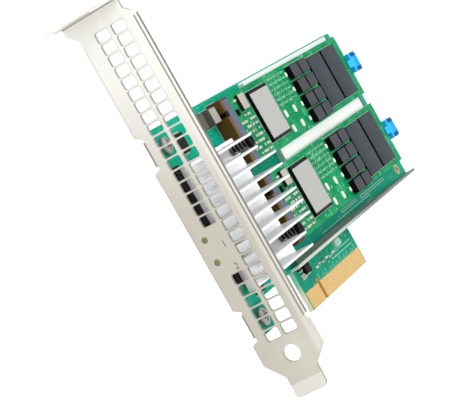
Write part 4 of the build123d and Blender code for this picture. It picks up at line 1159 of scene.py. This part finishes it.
class CARD_OT_stage(bpy.types.Operator):
    """Lay the pale floor, hang the lamps and set the camera"""
    bl_idname = "card.stage"
    bl_label = "Stage"

    def execute(self, context):
        stage = context.scene.card_stage
        low, high = (np.array(corner) for corner in CAD_BOX)
        middle = (low + high) / 2
        self.floor(low[2] - stage.floor_drop, middle)
        self.room(context.scene, stage.sky)
        self.lamp("key_lamp", (-0.75, -0.55, 0.75), middle, 0.7, stage.key)
        self.lamp("fill_lamp", (0.45, -0.8, 0.5), middle, 0.8, stage.fill)
        self.camera(context.scene, stage)
        context.scene.view_settings.view_transform = "Standard"
        return {"FINISHED"}

    def floor(self, level, middle):
        """Large disc that fades into the white room."""
        radius, thick, gap = 3.0, 1.0 * MM, 0.1 * MM
        base = (middle[0], middle[1], level - gap - thick)
        points, faces = turned([(radius, 0), (radius, thick)], base, (0, 0, 1), 96)
        mesh = bpy.data.meshes.new("floor")
        mesh.from_pydata(points, [], faces)
        made = Finish("floor_paper", (0.97, 0.97, 0.97), roughness=0.9)
        glow = made.times(made.looked_at(), 0.45)
        made.set(made.shader, {"Emission Color": WHITE, "Emission Strength": glow})
        mesh.materials.append(made.material)
        floor = placed("floor", mesh)

    def room(self, scene, strength):
        """White wherever it is looked at or mirrored, and a plain even light elsewhere."""
        world = bpy.data.worlds.new("white_room")
        world.use_nodes = True
        tree = Nodes(world.node_tree)
        level = tree.node("MapRange", {"Value": tree.looked_at(), "To Min": strength, "To Max": 1.0})
        tree.set(tree.nodes["Background"], {"Color": WHITE, "Strength": level.outputs["Result"]})
        scene.world = world

    def lamp(self, name, away, target, size, power):
        """Square soft lamp that faces the card."""
        light = bpy.data.lights.new(name, "AREA")
        light.size = size
        light.energy = power
        held = placed(name, light)
        held.location = Vector(target) + Vector(away)
        held.rotation_euler = (-Vector(away)).to_track_quat("-Z", "Y").to_euler()

    def camera(self, scene, stage):
        """Camera at the given place; azimuth, elevation and roll give the axes of its picture."""
        flat = math.cos(stage.elevation)
        view = Vector((math.cos(stage.azimuth) * flat, math.sin(stage.azimuth) * flat,
                       -math.sin(stage.elevation)))
        right = view.cross(Vector((0, 0, 1))).normalized()
        down = view.cross(right)
        across = math.cos(stage.roll) * right + math.sin(stage.roll) * down
        below = -math.sin(stage.roll) * right + math.cos(stage.roll) * down
        axes = Matrix((across, -below, -view)).transposed().to_4x4()
        axes.translation = Vector(stage.place)
        camera = bpy.data.cameras.new("camera")
        camera.sensor_fit = "HORIZONTAL"
        camera.sensor_width = 36
        camera.lens = stage.lens
        held = placed("camera", camera)
        held.matrix_world = axes
        scene.camera = held


OPERATORS = (CARD_OT_bracket, CARD_OT_screws, CARD_OT_main_board, CARD_OT_board_parts, CARD_OT_cooler,
             CARD_OT_sockets, CARD_OT_modules, CARD_OT_clips, CARD_OT_stage)


class CARD_PT_sidebar(bpy.types.Panel):
    """Lists the card's sizes, colours and steps"""
    bl_idname = "CARD_PT_sidebar"
    bl_label = "Adapter card"
    bl_space_type = "VIEW_3D"
    bl_region_type = "UI"
    bl_category = "Adapter card"

    def draw(self, context):
        for group in (context.scene.card_sizes, context.scene.card_colours, context.scene.card_stage):
            box = self.layout.box()
            for key in group.bl_rna.properties.keys():
                if key not in ("rna_type", "name"):
                    box.prop(group, key)
        for operator in OPERATORS:
            self.layout.operator(operator.bl_idname)


GROUPS = (("card_colours", CardColours), ("card_sizes", CardSizes), ("card_stage", CardStage))


def register():
    for name, group in GROUPS:
        bpy.utils.register_class(group)
        setattr(bpy.types.Scene, name, bpy.props.PointerProperty(type=group))
    for kind in (*OPERATORS, CARD_PT_sidebar):
        bpy.utils.register_class(kind)


def unregister():
    for kind in (CARD_PT_sidebar, *reversed(OPERATORS)):
        bpy.utils.unregister_class(kind)
    for name, group in reversed(GROUPS):
        delattr(bpy.types.Scene, name)
        bpy.utils.unregister_class(group)


def main():
    """Registers the add-on and runs every step in order."""
    register()
    for operator in OPERATORS:
        step = operator.bl_idname.split(".")[1]
        getattr(bpy.ops.card, step)()


if __name__ == "__main__":
    main()
